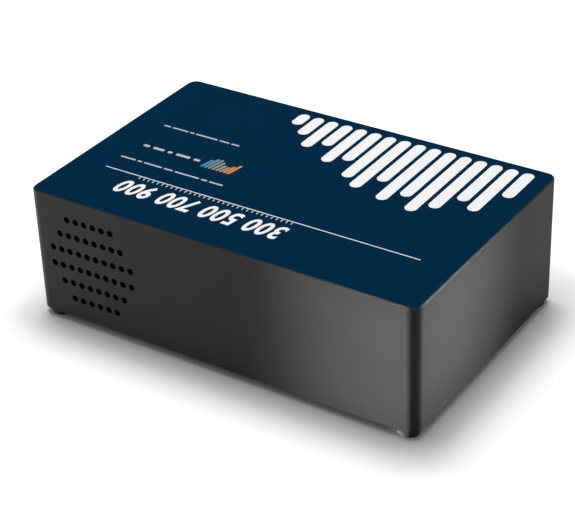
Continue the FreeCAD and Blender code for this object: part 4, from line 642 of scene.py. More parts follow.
# %% Ceramics and copper
package_ceramic = grained(
    "package_ceramic", (0.075, 0.055, 0.06), (0.48, 0.12), blotch=(3.0, 0.12), grain=0.12,
    bump=0.25, edge=((0.2, 0.17, 0.17), 0.4, 0.15),
)
cooler_ceramic = grained(
    "cooler_ceramic", (0.80, 0.79, 0.76), (0.45, 0.12), blotch=(5.0, 0.05), grain=0.15, bump=0.2,
)
heat_copper = grained(
    "heat_copper", (0.78, 0.37, 0.22), (0.34, 0.3), blotch=(6.0, 0.28), grain=0.3,
    metallic=1.0, bump=0.2, edge=((0.95, 0.60, 0.42), 0.5, 0.2),
)
dress(package_ceramic, "detector_package")
dress(cooler_ceramic, "cooler")
dress(heat_copper, "cold_block", "heat_spreader")
print("ceramics and copper finished")

# %% [markdown]
# The two mirrors and the grating are glass blanks with a coat of bare aluminium on the worked face. The
# grating's coat is cut with hundreds of grooves in each millimetre, far too fine to see, which split white
# light into colours. A gradient that starts anew every few centimetres paints these colours into the coat
# through a colour ramp: a painted reflection that stays in place whatever the lamps do, and that is enough
# to read as a grating.

# %% Mirrors and grating
mirror_coat = grained(
    "mirror_coat", (0.86, 0.87, 0.88), (0.05, 0.03), blotch=(8.0, 0.02), grain=0.5, metallic=1.0, bump=0.0,
)
slit_foil = streaked(
    "slit_foil", (0.30, 0.30, 0.31), (0.30, 0.15), squeeze=(0.05, 1.0, 1.0), width=0.1, strength=0.3,
    metallic=1.0, bump=0.05,
)
grating_coat = grained(
    "grating_coat", (0.75, 0.76, 0.78), (0.16, 0.05), blotch=(10.0, 0.02), grain=0.5, metallic=1.0, bump=0.0,
)
PAINTED_RAINBOW = (
    (0.0, (0.45, 0.30, 0.75)), (0.3, (0.25, 0.60, 0.85)),
    (0.55, (0.35, 0.80, 0.40)), (0.8, (0.9, 0.75, 0.3)),
)
RAINBOW_STRENGTH = 0.35
BANDS_PER_METRE = 45.0
tree = grating_coat.node_tree
# Painted reflection: bands in the colours of split light, fixed on the coat.
stretch = add(tree, "Mapping", Vector=object_place(tree), Scale=(BANDS_PER_METRE, 0.0, 0.0))
bands = add(tree, "TexGradient", Vector=stretch.outputs["Vector"])
rainbow = colour_ramp(tree, calculate(tree, "FRACT", bands.outputs["Fac"]), PAINTED_RAINBOW)
shader = tree.nodes["Principled BSDF"]
plain = shader.inputs["Base Color"].links[0].from_socket
fill(tree, shader, Base_Color=mix_colours(tree, RAINBOW_STRENGTH, plain, rainbow))
dress(mirror_coat, "collimating_mirror", "focusing_mirror")
dress(grating_coat, "grating")
dress(slit_foil, "slit_disc")
print("optics finished, rainbow stops:", len(PAINTED_RAINBOW))

# %% [markdown]
# The detector's window and its small lens are clear glass. Glass wants full transmission and a plain
# roughness. A trace of haze keeps it from being perfect. The lamp beside the sockets is clear plastic with
# a milky body, so it is half see-through and not lit.

# %% Clear glass and the lamp
def clear(name, colour, see_through, rough, bend):
    """Make a see-through material with a little haze."""
    material, tree, shader = new_material(name, Transmission_Weight=see_through, IOR=bend)
    haze = {"Colour": (*colour, 1.0), "Blotch": 0.02, "Roughness": rough, "Roughness_Spread": 0.03}
    effect = add(tree, "Group", node_tree=grain_group, **haze).outputs
    fill(tree, shader, Base_Color=effect["Colour"], Roughness=effect["Roughness"])
    return material


window_glass = clear("window_glass", (0.97, 0.99, 0.98), 1.0, 0.04, 1.46)
lamp_plastic = clear("lamp_plastic", (0.75, 0.85, 0.78), 0.55, 0.22, 1.49)
dress(window_glass, "detector_window", "detector_lens")
dress(lamp_plastic, "status_lamp")
print("clear parts finished")

# %% [markdown]
# The boards are glass fibre under green lacquer, the flexible strip is amber film over copper, the ribbon
# is grey vinyl with a groove between its wires, and the fan's lead is black vinyl. The track group gives the
# boards their copper lines, with a slight step that catches the light.

# %% Boards, strip, ribbon and lead
def board(name, lacquer, track, cell):
    """Make a lacquered circuit board, its tracks a cell apart in millimetres."""
    material, tree, shader = new_material(name, Roughness=0.32)
    colours = {"Lacquer": (*lacquer, 1.0), "Track": (*track, 1.0)}
    effect = add(tree, "Group", node_tree=track_group, Cell_mm=cell, **colours).outputs
    relief = add(tree, "Bump", Strength=0.4, Distance=RELIEF_DEPTH / 2, Height=effect["Height"])
    fill(tree, shader, Base_Color=effect["Colour"], Normal=relief.outputs["Normal"])
    return material


board_lacquer = board("board_lacquer", (0.010, 0.105, 0.045), (0.030, 0.21, 0.085), 2.6)
detector_lacquer = board("detector_lacquer", (0.010, 0.085, 0.040), (0.028, 0.17, 0.075), 2.0)
flex_film = board("flex_film", (0.42, 0.17, 0.03), (0.62, 0.30, 0.09), 1.2)
ribbon_vinyl = streaked(
    "ribbon_vinyl", (0.34, 0.34, 0.33), (0.50, 0.1), squeeze=(1.0, 0.02, 0.02), width=1.2, strength=0.5,
    specular=0.4, bump=0.7,
)
lead_vinyl = grained(
    "lead_vinyl", (0.020, 0.020, 0.021), (0.40, 0.12), blotch=(3.0, 0.1), grain=0.4, bump=0.1,
)
dress(board_lacquer, "main_board", "io_board")
dress(detector_lacquer, "detector_board")
dress(flex_film, "detector_flex")
dress(ribbon_vinyl, "board_ribbon")
dress(lead_vinyl, "fan_lead")
print("boards finished:", board_lacquer.name, detector_lacquer.name, flex_film.name)

# %% [markdown]
# The top of the box carries a printed film of a quarter of a millimetre, glued inside the rim. Its print is
# a dark petrol blue with white on it. The film itself is one thin plate with round corners and a small
# bevel at its upper edge, so that its border catches light. The ink lies on it as shapes three hundredths
# of a millimetre thick. Real ink is about as thick, and as shapes it needs no picture file.

# %% Helpers for flat shapes
HOUSING = "housing"


def in_mm(box):
    """Give the low and the high corner of a box in millimetres."""
    return [[value / MM for value in corner] for corner in box]


def middle_of(low, high):
    """Give the middle between two corners."""
    return [(a + b) / 2 for a, b in zip(low, high)]


def rounded_outline(low_x, low_y, high_x, high_y, radius, steps=6):
    """Give the corner points of a rounded rectangle, anticlockwise, in millimetres."""
    points = []
    middles = ((high_x, high_y), (low_x, high_y), (low_x, low_y), (high_x, low_y))
    for quarter, (x, y) in enumerate(middles):
        middle_x = x - radius if quarter in (0, 3) else x + radius
        middle_y = y - radius if quarter in (0, 1) else y + radius
        for step in range(steps + 1):
            angle = math.radians(90 * (quarter + step / steps))
            points.append((middle_x + radius * math.cos(angle), middle_y + radius * math.sin(angle)))
    return points


def add_piece(name, vertices, faces, material, body, *replaced, slot=None):
    """Make a mesh piece from points in millimetres, and let it ride on a body."""
    mesh = bpy.data.meshes.new(name)
    mesh.from_pydata([Vector(vertex) * MM for vertex in vertices], [], faces)
    mesh.validate()
    mesh.materials.append(material)
    piece = bpy.data.objects.new(name, mesh)
    scene.collection.objects.link(piece)
    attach(piece, body)
    if replaced:
        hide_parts(*replaced)
    return piece


def stack(outlines, start=0):
    """Join outlines of equal length, given with a height each, to a closed solid."""
    count = len(outlines[0][0])
    vertices = [(x, y, z) for points, z in outlines for x, y in points]
    faces = [tuple(start + index for index in reversed(range(count)))]
    for level in range(len(outlines) - 1):
        for index in range(count):
            after = (index + 1) % count
            low = start + level * count
            faces.append((low + index, low + after, low + count + after, low + count + index))
    top = start + (len(outlines) - 1) * count
    faces.append(tuple(top + index for index in range(count)))
    return vertices, faces


print("flat shape helpers ready")

# %% [markdown]
# The film's blue is nearly without gloss: a matt varnish lies over the print, so the white room doesn't
# show in it. The fine grain of the varnish and a faint unevenness of the blue are all that break it up.
# Its cut edge and its bevel are a second material, near black: a painted line of shade along the film's
# border.

# %% The printed film
FILM_RADIUS = 4.0
FILM_BEVEL = 0.1
CORNER_STEPS = 10
INK = 0.03
INK_BELOW_TOP = 0.01
film_print = grained(
    "film_print", (0.0002, 0.0218, 0.0570), (0.62, 0.12), blotch=(18.0, 0.045), grain=0.35,
    specular=0.005, bump=0.25,
)
film_edge_painted_shade = grained(
    "film_edge_painted_shade", (0.010, 0.012, 0.009), (0.7, 0.1), blotch=(3.0, 0.1), grain=0.2, specular=0.1, bump=0.2,
)
film_low, film_high = in_mm(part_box("top_label"))
film_face = film_high[2] - INK_BELOW_TOP - INK
full = (*film_low[:2], *film_high[:2])
inner = (full[0] + FILM_BEVEL, full[1] + FILM_BEVEL, full[2] - FILM_BEVEL, full[3] - FILM_BEVEL)
outline = rounded_outline(*full, FILM_RADIUS, CORNER_STEPS)
film = add_piece(
    "film",
    *stack([
        (outline, film_low[2]),
        (outline, film_face - FILM_BEVEL),
        (rounded_outline(*inner, FILM_RADIUS - FILM_BEVEL, CORNER_STEPS), film_face),
    ]),
    film_print, HOUSING, "top_label", slot="label",
)
film.data.materials.append(film_edge_painted_shade)
# Faces that don't lie flat, the sides and the bevel, get the painted shade.
for face in film.data.polygons:
    lies_flat = abs(face.normal.z) > 0.99
    face.material_index = 0 if lies_flat else 1
print("film", [round(high - low, 2) for low, high in zip(film_low, film_high)], "mm")

# %% [markdown]
# The white ink was pushed through a silk screen. It covers well, but its tone is a little uneven and its
# surface is duller than the film's. Each printed figure is a thin closed shape. A helper collects many
# small outlines in one mesh, so that each pattern of the print is one piece.

# %% White ink
white_ink = grained(
    "white_ink", (0.94, 0.94, 0.94), (0.60, 0.1), blotch=(6.0, 0.015), grain=0.25, specular=0.2, bump=0.3,
)
grey_ink = grained(
    "grey_ink", (0.50, 0.54, 0.57), (0.60, 0.1), blotch=(3.0, 0.05), grain=0.25, specular=0.2, bump=0.3,
)
SHARP = 0.01


def print_shapes(name, outlines, material):
    """Lay many outlines on the film as one inked piece."""
    vertices, faces = [], []
    for points in outlines:
        more, sides = stack([(points, film_face), (points, film_face + INK)], len(vertices))
        vertices += more
        faces += sides
    return add_piece(name, vertices, faces, material, HOUSING)


def slanted_bar(x, y, width, length, slant=0.0, radius=0.0):
    """Give a bar's outline from its lower left corner. The slant is its lean in millimetres."""
    points = rounded_outline(x, y, x + width, y + length, max(radius, SHARP), 8 if radius else 1)
    return [(a + slant * (b - y) / length, b) for a, b in points]


print("inks ready:", white_ink.name, grey_ink.name)

# %% [markdown]
# At the far right, broad white bars with round ends stand side by side, of unequal length, like the lines
# of a spectrum. They are the boldest thing on the film. Their lengths come from a short list, so that the
# pattern can be read and changed in one place.

# %% The white spectrum lines
LINE_WIDTH = 5.2
LINE_PITCH = 7.1
LINE_START = (-29.0, 47.5)
LINE_LENGTHS = (
    10.0, 16.5, 25.0, 20.0, 32.0, 27.0, 39.0, 44.5,
    35.0, 48.0, 41.0, 50.0, 43.5, 33.0, 38.0, 22.0,
)
line_end = LINE_WIDTH / 2 - SHARP
spectrum = []
for index, length in enumerate(LINE_LENGTHS):
    x, y = LINE_START[0] + index * LINE_PITCH, LINE_START[1] - length
    spectrum.append(slanted_bar(x, y, LINE_WIDTH, length, radius=line_end))
print_shapes("spectrum_lines", spectrum, white_ink)
print("spectrum lines:", len(LINE_LENGTHS))

# %% [markdown]
# Along the front runs a wavelength scale: a thin white rule, heavy leaning numbers, and ticks beneath
# them. They are turned to be read from the back of the box, where the fibre and the leads go in. Numbers
# come from a text object. It is made bold by growing the outline and turned to a mesh at once, so that
# nothing later depends on a font.

# %% The wavelength scale
RULE = (-74.0, -32.3, 148.0, 0.45)
print_shapes("scale_rule", [slanted_bar(*RULE)], white_ink)

NUMBER_HEIGHT = 9.4
NUMBER_NARROW = 0.78
NUMBER_LEAN = 0.2
NUMBER_GROWTH = 0.04
NUMBER_SPACING = 1.12
HEIGHT_IN_FONT = 0.70
NUMBER_BASE_Y = -37.4
NUMBERS = ((20.0, "300"), (-0.8, "500"), (-21.6, "700"), (-42.4, "900"))


def number_mesh(text, right_x, base_y):
    """Make a bold leaning number, turned half round, with its right end at a place in millimetres."""
    words = bpy.data.curves.new("number", "FONT")
    words.body = text
    words.size = NUMBER_HEIGHT / HEIGHT_IN_FONT
    words.shear = NUMBER_LEAN
    words.offset = NUMBER_GROWTH * NUMBER_HEIGHT
    words.space_character = NUMBER_SPACING
    words.extrude = INK / 2
    words.resolution_u = 6
    holder = bpy.data.objects.new("number", words)
    scene.collection.objects.link(holder)
    worked_out = holder.evaluated_get(bpy.context.evaluated_depsgraph_get())
    mesh = bpy.data.meshes.new_from_object(worked_out)
    bpy.data.objects.remove(holder)
    half_turn = Matrix.Translation((right_x, base_y, film_face + INK / 2)) @ Matrix.Rotation(math.pi, 4, "Z")
    narrow = Matrix.Scale(NUMBER_NARROW, 4, Vector((1, 0, 0)))
    mesh.transform(Matrix.Scale(MM, 4) @ half_turn @ narrow)
    return mesh


numbers = []
for right_x, text in NUMBERS:
    mesh = number_mesh(text, right_x, NUMBER_BASE_Y)
    mesh.materials.append(white_ink)
    number = bpy.data.objects.new("scale_number_" + text, mesh)
    scene.collection.objects.link(number)
    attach(number, HOUSING)
    numbers.append(number)
print("numbers:", [number.name for number in numbers], "each", NUMBER_HEIGHT, "mm high")

# %% [markdown]
# Ticks make the scale readable: one long tick in every five. Behind the rule, where an instrument has its
# smaller print, short fine dashes in rows do the same work for the eye as lines of small type, and say
# nothing. They are grey, because such fine print never looks as white as bold print.

# %% Ticks and fine dashes
TICK_START = (-56.0, -34.2)
TICK_PITCH = 2.3
TICK_COUNT = 33
TICK_WIDTH = 0.35
SHORT_TICK, LONG_TICK = 1.5, 2.6
LONG_TICK_EVERY = 5
ticks = [
    slanted_bar(
        TICK_START[0] + index * TICK_PITCH, TICK_START[1], TICK_WIDTH,
        SHORT_TICK if index % LONG_TICK_EVERY else LONG_TICK,
    )
    for index in range(TICK_COUNT)
]
print_shapes("scale_ticks", ticks, white_ink)

# Each row: where it starts in X and Y, the space between dashes, their height and their lengths.
DASH_ROWS = (
    (-74.0, -22.4, 1.1, 0.95, (7.5, 2.2, 9.0, 4.4, 12.0, 3.0, 6.5)),
    (-71.5, -10.2, 2.0, 1.6, (3.0, 5.5, 2.2, 7.0, 3.0)),
    (-74.5, 8.9, 1.0, 0.9, (3.4, 8.0, 2.2, 11.0, 5.0, 4.0)),
)
DASH_ROUNDNESS = 0.3
dashes = []
for x, y, space, height, lengths in DASH_ROWS:
    for length in lengths:
        dashes.append(slanted_bar(x, y, length, height, radius=height * DASH_ROUNDNESS))
        x += length + space
print_shapes("fine_dashes", dashes, grey_ink)
print("ticks:", len(ticks), "dashes:", len(dashes))

# %% [markdown]
# One small patch of colour lies behind the middle: a strip of leaning bars that goes from blue to orange,
# as a spectrum's ends do. A gradient along the strip sets the colour, so all the bars share one material.

# %% The coloured strip
STRIP_X = (-40.5, -25.5)
STRIP_Y = -13.0
STRIP_BARS = 8
BAR_WIDTH = 1.3
BAR_LENGTH, BAR_SWING = 7.0, 2.0
BAR_SLANT = 1.6
BAR_ROUND = 0.6
STRIP_COLOURS = ((0.0, (0.02, 0.20, 0.42)), (0.5, (0.25, 0.30, 0.22)), (1.0, (0.80, 0.22, 0.02)))
strip_ink = grained(
    "strip_ink", (0.5, 0.5, 0.5), (0.58, 0.1), blotch=(2.0, 0.04), grain=0.25, specular=0.2, bump=0.3,
)
tree = strip_ink.node_tree
parts = add(tree, "SeparateXYZ", object_place(tree))
ends = {"From_Min": STRIP_X[0] * MM, "From_Max": STRIP_X[1] * MM}
share = add(tree, "MapRange", Value=parts.outputs["X"], **ends).outputs["Result"]
ink_group = next(node for node in tree.nodes if node.type == "GROUP")
fill(tree, ink_group, Colour=colour_ramp(tree, share, STRIP_COLOURS))
bar_pitch = (STRIP_X[1] - STRIP_X[0]) / STRIP_BARS
bars = []
for index in range(STRIP_BARS):
    x, length = STRIP_X[0] + index * bar_pitch, BAR_LENGTH + BAR_SWING * math.sin(index)
    bars.append(slanted_bar(x, STRIP_Y, BAR_WIDTH, length, slant=BAR_SLANT, radius=BAR_ROUND))
print_shapes("colour_strip", bars, strip_ink)
print("coloured bars:", STRIP_BARS)

# %% [markdown]
# The fibre port, the screws and other turned parts are made the way a lathe makes them: a list of rows
# along the axis, each with a radius. On a hexagon or a thread the place and the radius also depend on the
# angle. So a row may give functions of the angle and not numbers. One helper then makes hexagons, threads
# and hexagon sockets, and its faces always close.

# %% A helper for turned parts
FLAT_SIDES = 6


def hexagon(across, turn=0.0):
    """Give the radius of a hexagon at each angle, from its width across flats."""
    share = 2 * math.pi / FLAT_SIDES
    return lambda angle: across / 2 / math.cos((angle - turn) % share - share / 2)


def turned(rows, count, closed, split=False):
    """Give points and faces of a turned part round its Z axis. A row is an along and a radius.

    A closed part runs from its last row back to its first. A split part has triangles, each cut from the
    first corner to the third, so that a ridge may cross from one row to the next.
    """
    vertices, faces = [], []
    for along, radius in rows:
        for step in range(count):
            angle = 2 * math.pi * step / count
            reach = radius(angle) if callable(radius) else radius
            place = along(angle) if callable(along) else along
            vertices.append((reach * math.cos(angle), reach * math.sin(angle), place))
    row_count = len(rows)
    for row in range(row_count if closed else row_count - 1):
        after = (row + 1) % row_count
        for step in range(count):
            beside = (step + 1) % count
            face = (row * count + step, row * count + beside, after * count + beside, after * count + step)
            faces += [face[:3], (face[0], *face[2:])] if split else [face]
    if not closed:
        faces.append(tuple(reversed(range(count))))
        faces.append(tuple((row_count - 1) * count + step for step in range(count)))
    return vertices, faces


def smooth_by_angle(piece, limit):
    """Smooth the faces, and keep the edges that are sharper than the limit."""
    for face in piece.data.polygons:
        face.use_smooth = True
    piece.data.set_sharp_from_angle(angle=math.radians(limit))


print("turning helper ready")

# %% [markdown]
# The port is one nickel-plated brass part: a hexagon against the wall, a quarter-inch thread with 36 turns
# to the inch in front of it, and a fine bore for the fibre's ferrule. The thread is a real helix. If its
# rows were plain rings, crest and root would run across them in steps. So each row climbs with the helix,
# and drops back by one row after each eighth of a turn, where the next row takes over. The cut dies out
# at both ends, as a real one does. The chamfer of the hexagon is a cone, so it meets each flat in a curve.

# %% The fibre port
THREAD_RADIUS = 3.175
THREAD_LENGTH = 8.0
THREAD_PITCH = 25.4 / 36
THREAD_DEPTH = 0.40
THREAD_RELIEF = 0.4
THREAD_LEAD = 0.25
HEX_ACROSS = 8.0
HEX_LENGTH = 2.5
FERRULE_RADIUS = 1.6
FERRULE_DEPTH = 9.8
SLIT_BORE_RADIUS = 2.5
TAIL_RADIUS = 2.95
TAIL_BEVEL = 0.25
RELIEF_SLOPE = 0.2
TIP_BEVEL = 0.2
FERRULE_BEVEL = 0.15
BORE_BEVEL = 0.1
GROOVE_TOP, GROOVE_SLOPE = 1.2, 2.7
FADE_IN, FADE_OUT = 0.5, 0.4
ROWS_PER_TURN = 8
PORT_STEPS = 96
port_low, port_high = in_mm(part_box("fibre_connector"))
port_x, _, port_z = middle_of(port_low, port_high)
row_pitch = THREAD_PITCH / ROWS_PER_TURN
port_start, port_end = port_low[1], port_high[1]
hex_end = port_end - THREAD_LENGTH
hex_start = hex_end - HEX_LENGTH
step_y = port_end - FERRULE_DEPTH
thread_start = hex_end + THREAD_RELIEF
thread_end = port_end - THREAD_LEAD
root_radius = THREAD_RADIUS - THREAD_DEPTH


def thread_row(row):
    """Give one row of the thread: its place and its radius, both over the angle.

    The groove's cut is full in the middle of each turn, and its two sides slope up to the crest.
    """

    def climb(angle):
        return ROWS_PER_TURN * angle / (2 * math.pi) + 1e-6

    def along(angle):
        return thread_start + row_pitch * (row + climb(angle) % 1.0)

    def radius(angle):
        phase = (row - int(climb(angle))) % ROWS_PER_TURN / ROWS_PER_TURN
        cut = min(max(GROOVE_TOP - GROOVE_SLOPE * abs(phase - 0.5), 0.0), 1.0)
        place = along(angle)
        fade = min((place - thread_start) / FADE_IN, (thread_end - place) / FADE_OUT, 1.0)
        return THREAD_RADIUS - THREAD_DEPTH * cut * max(fade, 0.0)

    return along, radius


flats = hexagon(HEX_ACROSS, math.radians(30))
CHAMFER_RADIUS = HEX_ACROSS / 2 * 0.97
CHAMFER_SLOPE = math.tan(math.radians(30))

rows = [(port_start, TAIL_RADIUS), (port_start + TAIL_BEVEL, THREAD_RADIUS), (hex_start, THREAD_RADIUS)]
rows += [(hex_start, flats)]
rows += [(lambda angle: hex_end - (flats(angle) - CHAMFER_RADIUS) * CHAMFER_SLOPE, flats)]
rows += [(hex_end, CHAMFER_RADIUS), (hex_end, root_radius), (thread_start - RELIEF_SLOPE, root_radius)]
rows += [thread_row(row) for row in range(int((thread_end - thread_start) / row_pitch))]
rows += [(thread_end + 0.05, THREAD_RADIUS), (port_end, THREAD_RADIUS - TIP_BEVEL)]
rows += [(port_end, FERRULE_RADIUS + FERRULE_BEVEL), (port_end - FERRULE_BEVEL, FERRULE_RADIUS)]
rows += [(step_y, FERRULE_RADIUS), (step_y, SLIT_BORE_RADIUS)]
rows += [(port_start + BORE_BEVEL, SLIT_BORE_RADIUS), (port_start, SLIT_BORE_RADIUS + BORE_BEVEL)]
vertices, faces = turned(rows, PORT_STEPS, closed=True, split=True)
vertices = [(port_x + x, along, port_z - y) for x, y, along in vertices]
port = add_piece("fibre_port", vertices, faces, nickel, HOUSING, "fibre_connector", slot="nickel")
smooth_by_angle(port, 40.0)
print("port:", len(rows), "rows,", len(faces), "faces")

# %% [markdown]
# Two groups of screws can be seen when the box is turned over: flat heads sunk in the base plate, and
# cylinder heads deep in the rubber feet. Both have a hexagon socket. Their places are measured from the
# solids and not typed in: each loose group of points in the node is one screw.

# %% Where the screws are
def islands(name):
    """Give the box of each separate solid of a node, in millimetres."""
    mesh = nodes[name].data
    parent = list(range(len(mesh.vertices)))
    seen_at = {}

    def root(index):
        while parent[index] != index:
            parent[index] = parent[parent[index]]
            index = parent[index]
        return index

    for vertex in mesh.vertices:
        key = tuple(round(value / MM, 3) for value in vertex.co)
        parent[root(vertex.index)] = root(seen_at.setdefault(key, vertex.index))
    for edge in mesh.edges:
        parent[root(edge.vertices[0])] = root(edge.vertices[1])
    groups = {}
    for vertex in mesh.vertices:
        groups.setdefault(root(vertex.index), []).append([value / MM for value in vertex.co])
    return [[[end(line) for line in zip(*points)] for end in (min, max)] for points in groups.values()]


foot_places = islands("foot_screws")
base_places = islands("base_screws")
print("foot screws:", len(foot_places), "base screws:", len(base_places))

# %% [markdown]
# A screw is turned from its rows: the bottom of the socket, the socket's six walls, its countersunk rim,
# the head, and the shank with its bevelled end. The shank stays plain, because it is inside the metal.

# %% The screws
SCREW_RADIUS = 1.5
HEAD_RADIUS = 2.75
SOCKET_ACROSS = 2.5
SOCKET_DEPTH = 1.1
DRILL_RADIUS, DRILL_POINT = 1.0, 0.25
RIM_WIDTH, RIM_DEPTH = 0.3, 0.12
SHANK_BEVEL = 0.4
SCREW_STEPS = 48


def screw_rows(length, head_rows):
    """Give the rows of a screw that points up, from the bottom of its socket to its tip."""
    socket = hexagon(SOCKET_ACROSS)
    rows = [(SOCKET_DEPTH + DRILL_POINT, 0.05), (SOCKET_DEPTH, DRILL_RADIUS), (SOCKET_DEPTH, socket)]
    rows += [(RIM_DEPTH, socket), (0.0, SOCKET_ACROSS / 2 + RIM_WIDTH)]
    rows += head_rows
    return rows + [(length - SHANK_BEVEL, SCREW_RADIUS), (length, SCREW_RADIUS - SHANK_BEVEL)]


def add_screws(name, places, head_rows, material, node, slot):
    """Put a screw at each place, all in one piece that stands for the node."""
    vertices, faces = [], []
    for low, high in places:
        middle_x, middle_y, _ = middle_of(low, high)
        more, sides = turned(screw_rows(high[2] - low[2], head_rows), SCREW_STEPS, closed=False)
        faces += [tuple(index + len(vertices) for index in side) for side in sides]
        vertices += [(middle_x + x, middle_y + y, low[2] + z) for x, y, z in more]
    piece = add_piece(name, vertices, faces, material, HOUSING, node, slot=slot)
    smooth_by_angle(piece, 30.0)


CYLINDER_HEAD = [
    (0.0, HEAD_RADIUS - 0.3), (0.09, HEAD_RADIUS - 0.09), (0.3, HEAD_RADIUS),
    (1.5, HEAD_RADIUS), (1.5, SCREW_RADIUS),
]
SUNK_HEAD = [(0.0, HEAD_RADIUS - 0.08), (0.1, HEAD_RADIUS), (1.35, SCREW_RADIUS)]
add_screws("foot_screw_heads", foot_places, CYLINDER_HEAD, plated_screw, "foot_screws", "screw_steel")
add_screws("base_screw_heads", base_places, SUNK_HEAD, black_screw, "base_screws", "screw_black")
print("screws made:", len(foot_places) + len(base_places))

# %% [markdown]
# The data socket is a folded steel shell, plated, with a plastic tongue inside that carries four contacts.
# The shell's mouth is square with two bevelled corners. To join the mouth to the shell's outline, both are
# met by the same rays from the middle, so their points pair up and four-sided faces join them.

# %% The data socket
def ray_points(outline, middle, angles):
    """Meet an outline with rays from the middle, one for each angle."""
    points = []
    for angle in angles:
        aim = Vector((math.cos(angle), math.sin(angle)))
        best = None
        for first, second in zip(outline, outline[1:] + outline[:1]):
            start, side = Vector(first) - middle, Vector(second) - Vector(first)
            cross = aim.x * side.y - aim.y * side.x
            if abs(cross) < 1e-9:
                continue
            reach = (start.x * side.y - start.y * side.x) / cross
            share = (start.x * aim.y - start.y * aim.x) / cross
            if reach > 0 and -1e-6 <= share <= 1 + 1e-6:
                best = max(best or 0.0, reach)
        points.append(middle + aim * best)
    return points


MOUTH = (8.45, 7.78)
MOUTH_BEVEL = 1.6
MOUTH_DEPTH = 9.0
SHELL_RADIUS = 0.8
FOLD, FOLD_SCALE = 0.25, 0.965
LIP, LIP_SCALE = 0.3, 1.07
usb_low, usb_high = in_mm(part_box("usb_socket"))
middle = Vector(middle_of(usb_low, usb_high)[::2])
half_w, half_h = MOUTH[0] / 2, MOUTH[1] / 2
corners = [(-half_w, -half_h), (half_w, -half_h), (half_w, half_h - MOUTH_BEVEL)]
corners += [(half_w - MOUTH_BEVEL, half_h), (MOUTH_BEVEL - half_w, half_h), (-half_w, half_h - MOUTH_BEVEL)]
mouth = [(middle.x + x, middle.y + z) for x, z in corners]
shell = rounded_outline(usb_low[0], usb_low[2], usb_high[0], usb_high[2], SHELL_RADIUS, 4)
angles = sorted({round(math.atan2(z - middle.y, x - middle.x), 6) for x, z in mouth + shell})


def at_depth(points, depth, scale=1.0):
    """Put points of the socket's face at a depth behind it."""
    return [
        (middle.x + (x - middle.x) * scale, usb_high[1] - depth, middle.y + (z - middle.y) * scale)
        for x, z in points
    ]


outer_points = ray_points(shell, middle, angles)
mouth_points = ray_points(mouth, middle, angles)
rings = [
    at_depth(outer_points, usb_high[1] - usb_low[1]),
    at_depth(outer_points, FOLD),
    at_depth(outer_points, 0.0, FOLD_SCALE),
    at_depth(mouth_points, 0.0, LIP_SCALE),
    at_depth(mouth_points, LIP),
    at_depth(mouth_points, MOUTH_DEPTH),
]
count = len(angles)
vertices = [point for ring in rings for point in ring]
faces = []
for row in range(0, (len(rings) - 1) * count, count):
    for step in range(count):
        beside = (step + 1) % count
        faces.append((row + step, row + count + step, row + count + beside, row + beside))
faces += [tuple(range(count)), tuple(reversed(range((len(rings) - 1) * count, len(rings) * count)))]
shell_steel = streaked(
    "shell_steel", (0.60, 0.60, 0.59), (0.28, 0.15), squeeze=(0.06, 1.0, 1.0), width=0.2, strength=0.2,
    metallic=1.0, bump=0.1, edge=((0.82, 0.82, 0.80), 0.5, 0.15),
)
add_piece("usb_shell", vertices, faces, shell_steel, HOUSING, "usb_socket", slot="socket_shell")
print("socket shell:", count, "points round,", len(rings), "rings")

# %% [markdown]
# The tongue is white plastic with rounded edges, and its contacts are gold strips with turned-in tips.
# The power jack gets its leaf spring, bent so that it presses on the plug.

# %% Tongue, contacts and spring
TONGUE = (5.6, 3.2)
TONGUE_ROUND = 0.35
TONGUE_SETBACK = 1.0
TONGUE_TAPER, CONTACT_TAPER = 0.12, 0.3
TIP_LENGTH = 0.25
CONTACT = (1.0, 0.24)
CONTACT_ROUND = 0.05
CONTACT_LIFT = 0.07
CONTACT_BACK, CONTACT_SETBACK = 0.1, 0.7
CONTACT_PLACES = [(x, side) for side in (-1, 1) for x in (-1.25, 1.25)]
tongue_white = grained(
    "tongue_white", (0.78, 0.78, 0.75), (0.36, 0.1), blotch=(2.0, 0.04), grain=0.15, bump=0.2,
)


def block(x, z, size, radius, steps):
    """Give a rounded outline round a middle in X and Z."""
    return rounded_outline(x - size[0] / 2, z - size[1] / 2, x + size[0] / 2, z + size[1] / 2, radius, steps)


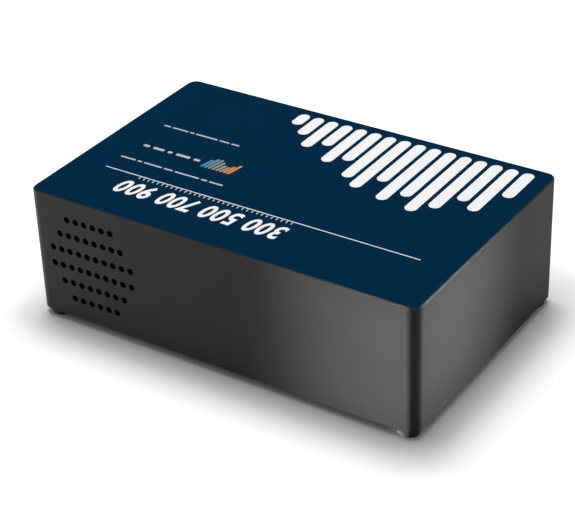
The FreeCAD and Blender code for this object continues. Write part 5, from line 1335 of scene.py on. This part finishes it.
def swept(outline, y_start, y_end, rim):
    """Give a bar along Y with an outline in X and Z, its tip drawn in by a share."""
    centre_x, centre_z = [sum(values) / len(outline) for values in zip(*outline)]
    tip = [(centre_x + (x - centre_x) * (1 - rim), centre_z + (z - centre_z) * (1 - rim)) for x, z in outline]
    points, sides = stack([(outline, y_start), (outline, y_end - TIP_LENGTH), (tip, y_end)])
    return [(x, along, z) for x, z, along in points], [tuple(reversed(side)) for side in sides]


mouth_back, tongue_front = usb_high[1] - MOUTH_DEPTH, usb_high[1] - TONGUE_SETBACK
tongue_outline = block(middle.x, middle.y, TONGUE, TONGUE_ROUND, 4)
add_piece(
    "usb_tongue", *swept(tongue_outline, mouth_back, tongue_front, TONGUE_TAPER),
    tongue_white, HOUSING, slot="socket_shell",
)
vertices, faces = [], []
for x, side in CONTACT_PLACES:
    z = middle.y + side * (TONGUE[1] / 2 + CONTACT_LIFT)
    contact = block(middle.x + x, z, CONTACT, CONTACT_ROUND, 2)
    more, sides = swept(contact, mouth_back + CONTACT_BACK, tongue_front - CONTACT_SETBACK, CONTACT_TAPER)
    faces += [tuple(index + len(vertices) for index in face) for face in sides]
    vertices += more
add_piece("usb_contacts", vertices, faces, contact_gold, HOUSING, slot="gold")

# Each point of the leaf spring: how deep it lies behind the jack's face, and how far below the pin.
LEAF = ((0.6, 3.02), (2.5, 2.75), (5.5, 2.35), (7.5, 2.2), (8.6, 2.6))
LEAF_HALF = 0.9
LEAF_THICK = 0.18
jack_face = in_mm(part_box("jack_socket"))[1][1]
jack_x, _, jack_z = middle_of(*in_mm(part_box("jack_pin")))
leaf_line = [(jack_face - depth, jack_z - drop) for depth, drop in LEAF]
leaf_line += [(jack_face - depth, jack_z - drop + LEAF_THICK) for depth, drop in reversed(LEAF)]
points, sides = stack([(leaf_line, jack_x - LEAF_HALF), (leaf_line, jack_x + LEAF_HALF)])
leaf = [(x, y, z) for y, z, x in points]
add_piece("jack_spring", leaf, sides, shell_steel, HOUSING, slot="socket_shell")
print("tongue, contacts:", len(CONTACT_PLACES), "spring width", 2 * LEAF_HALF, "mm")
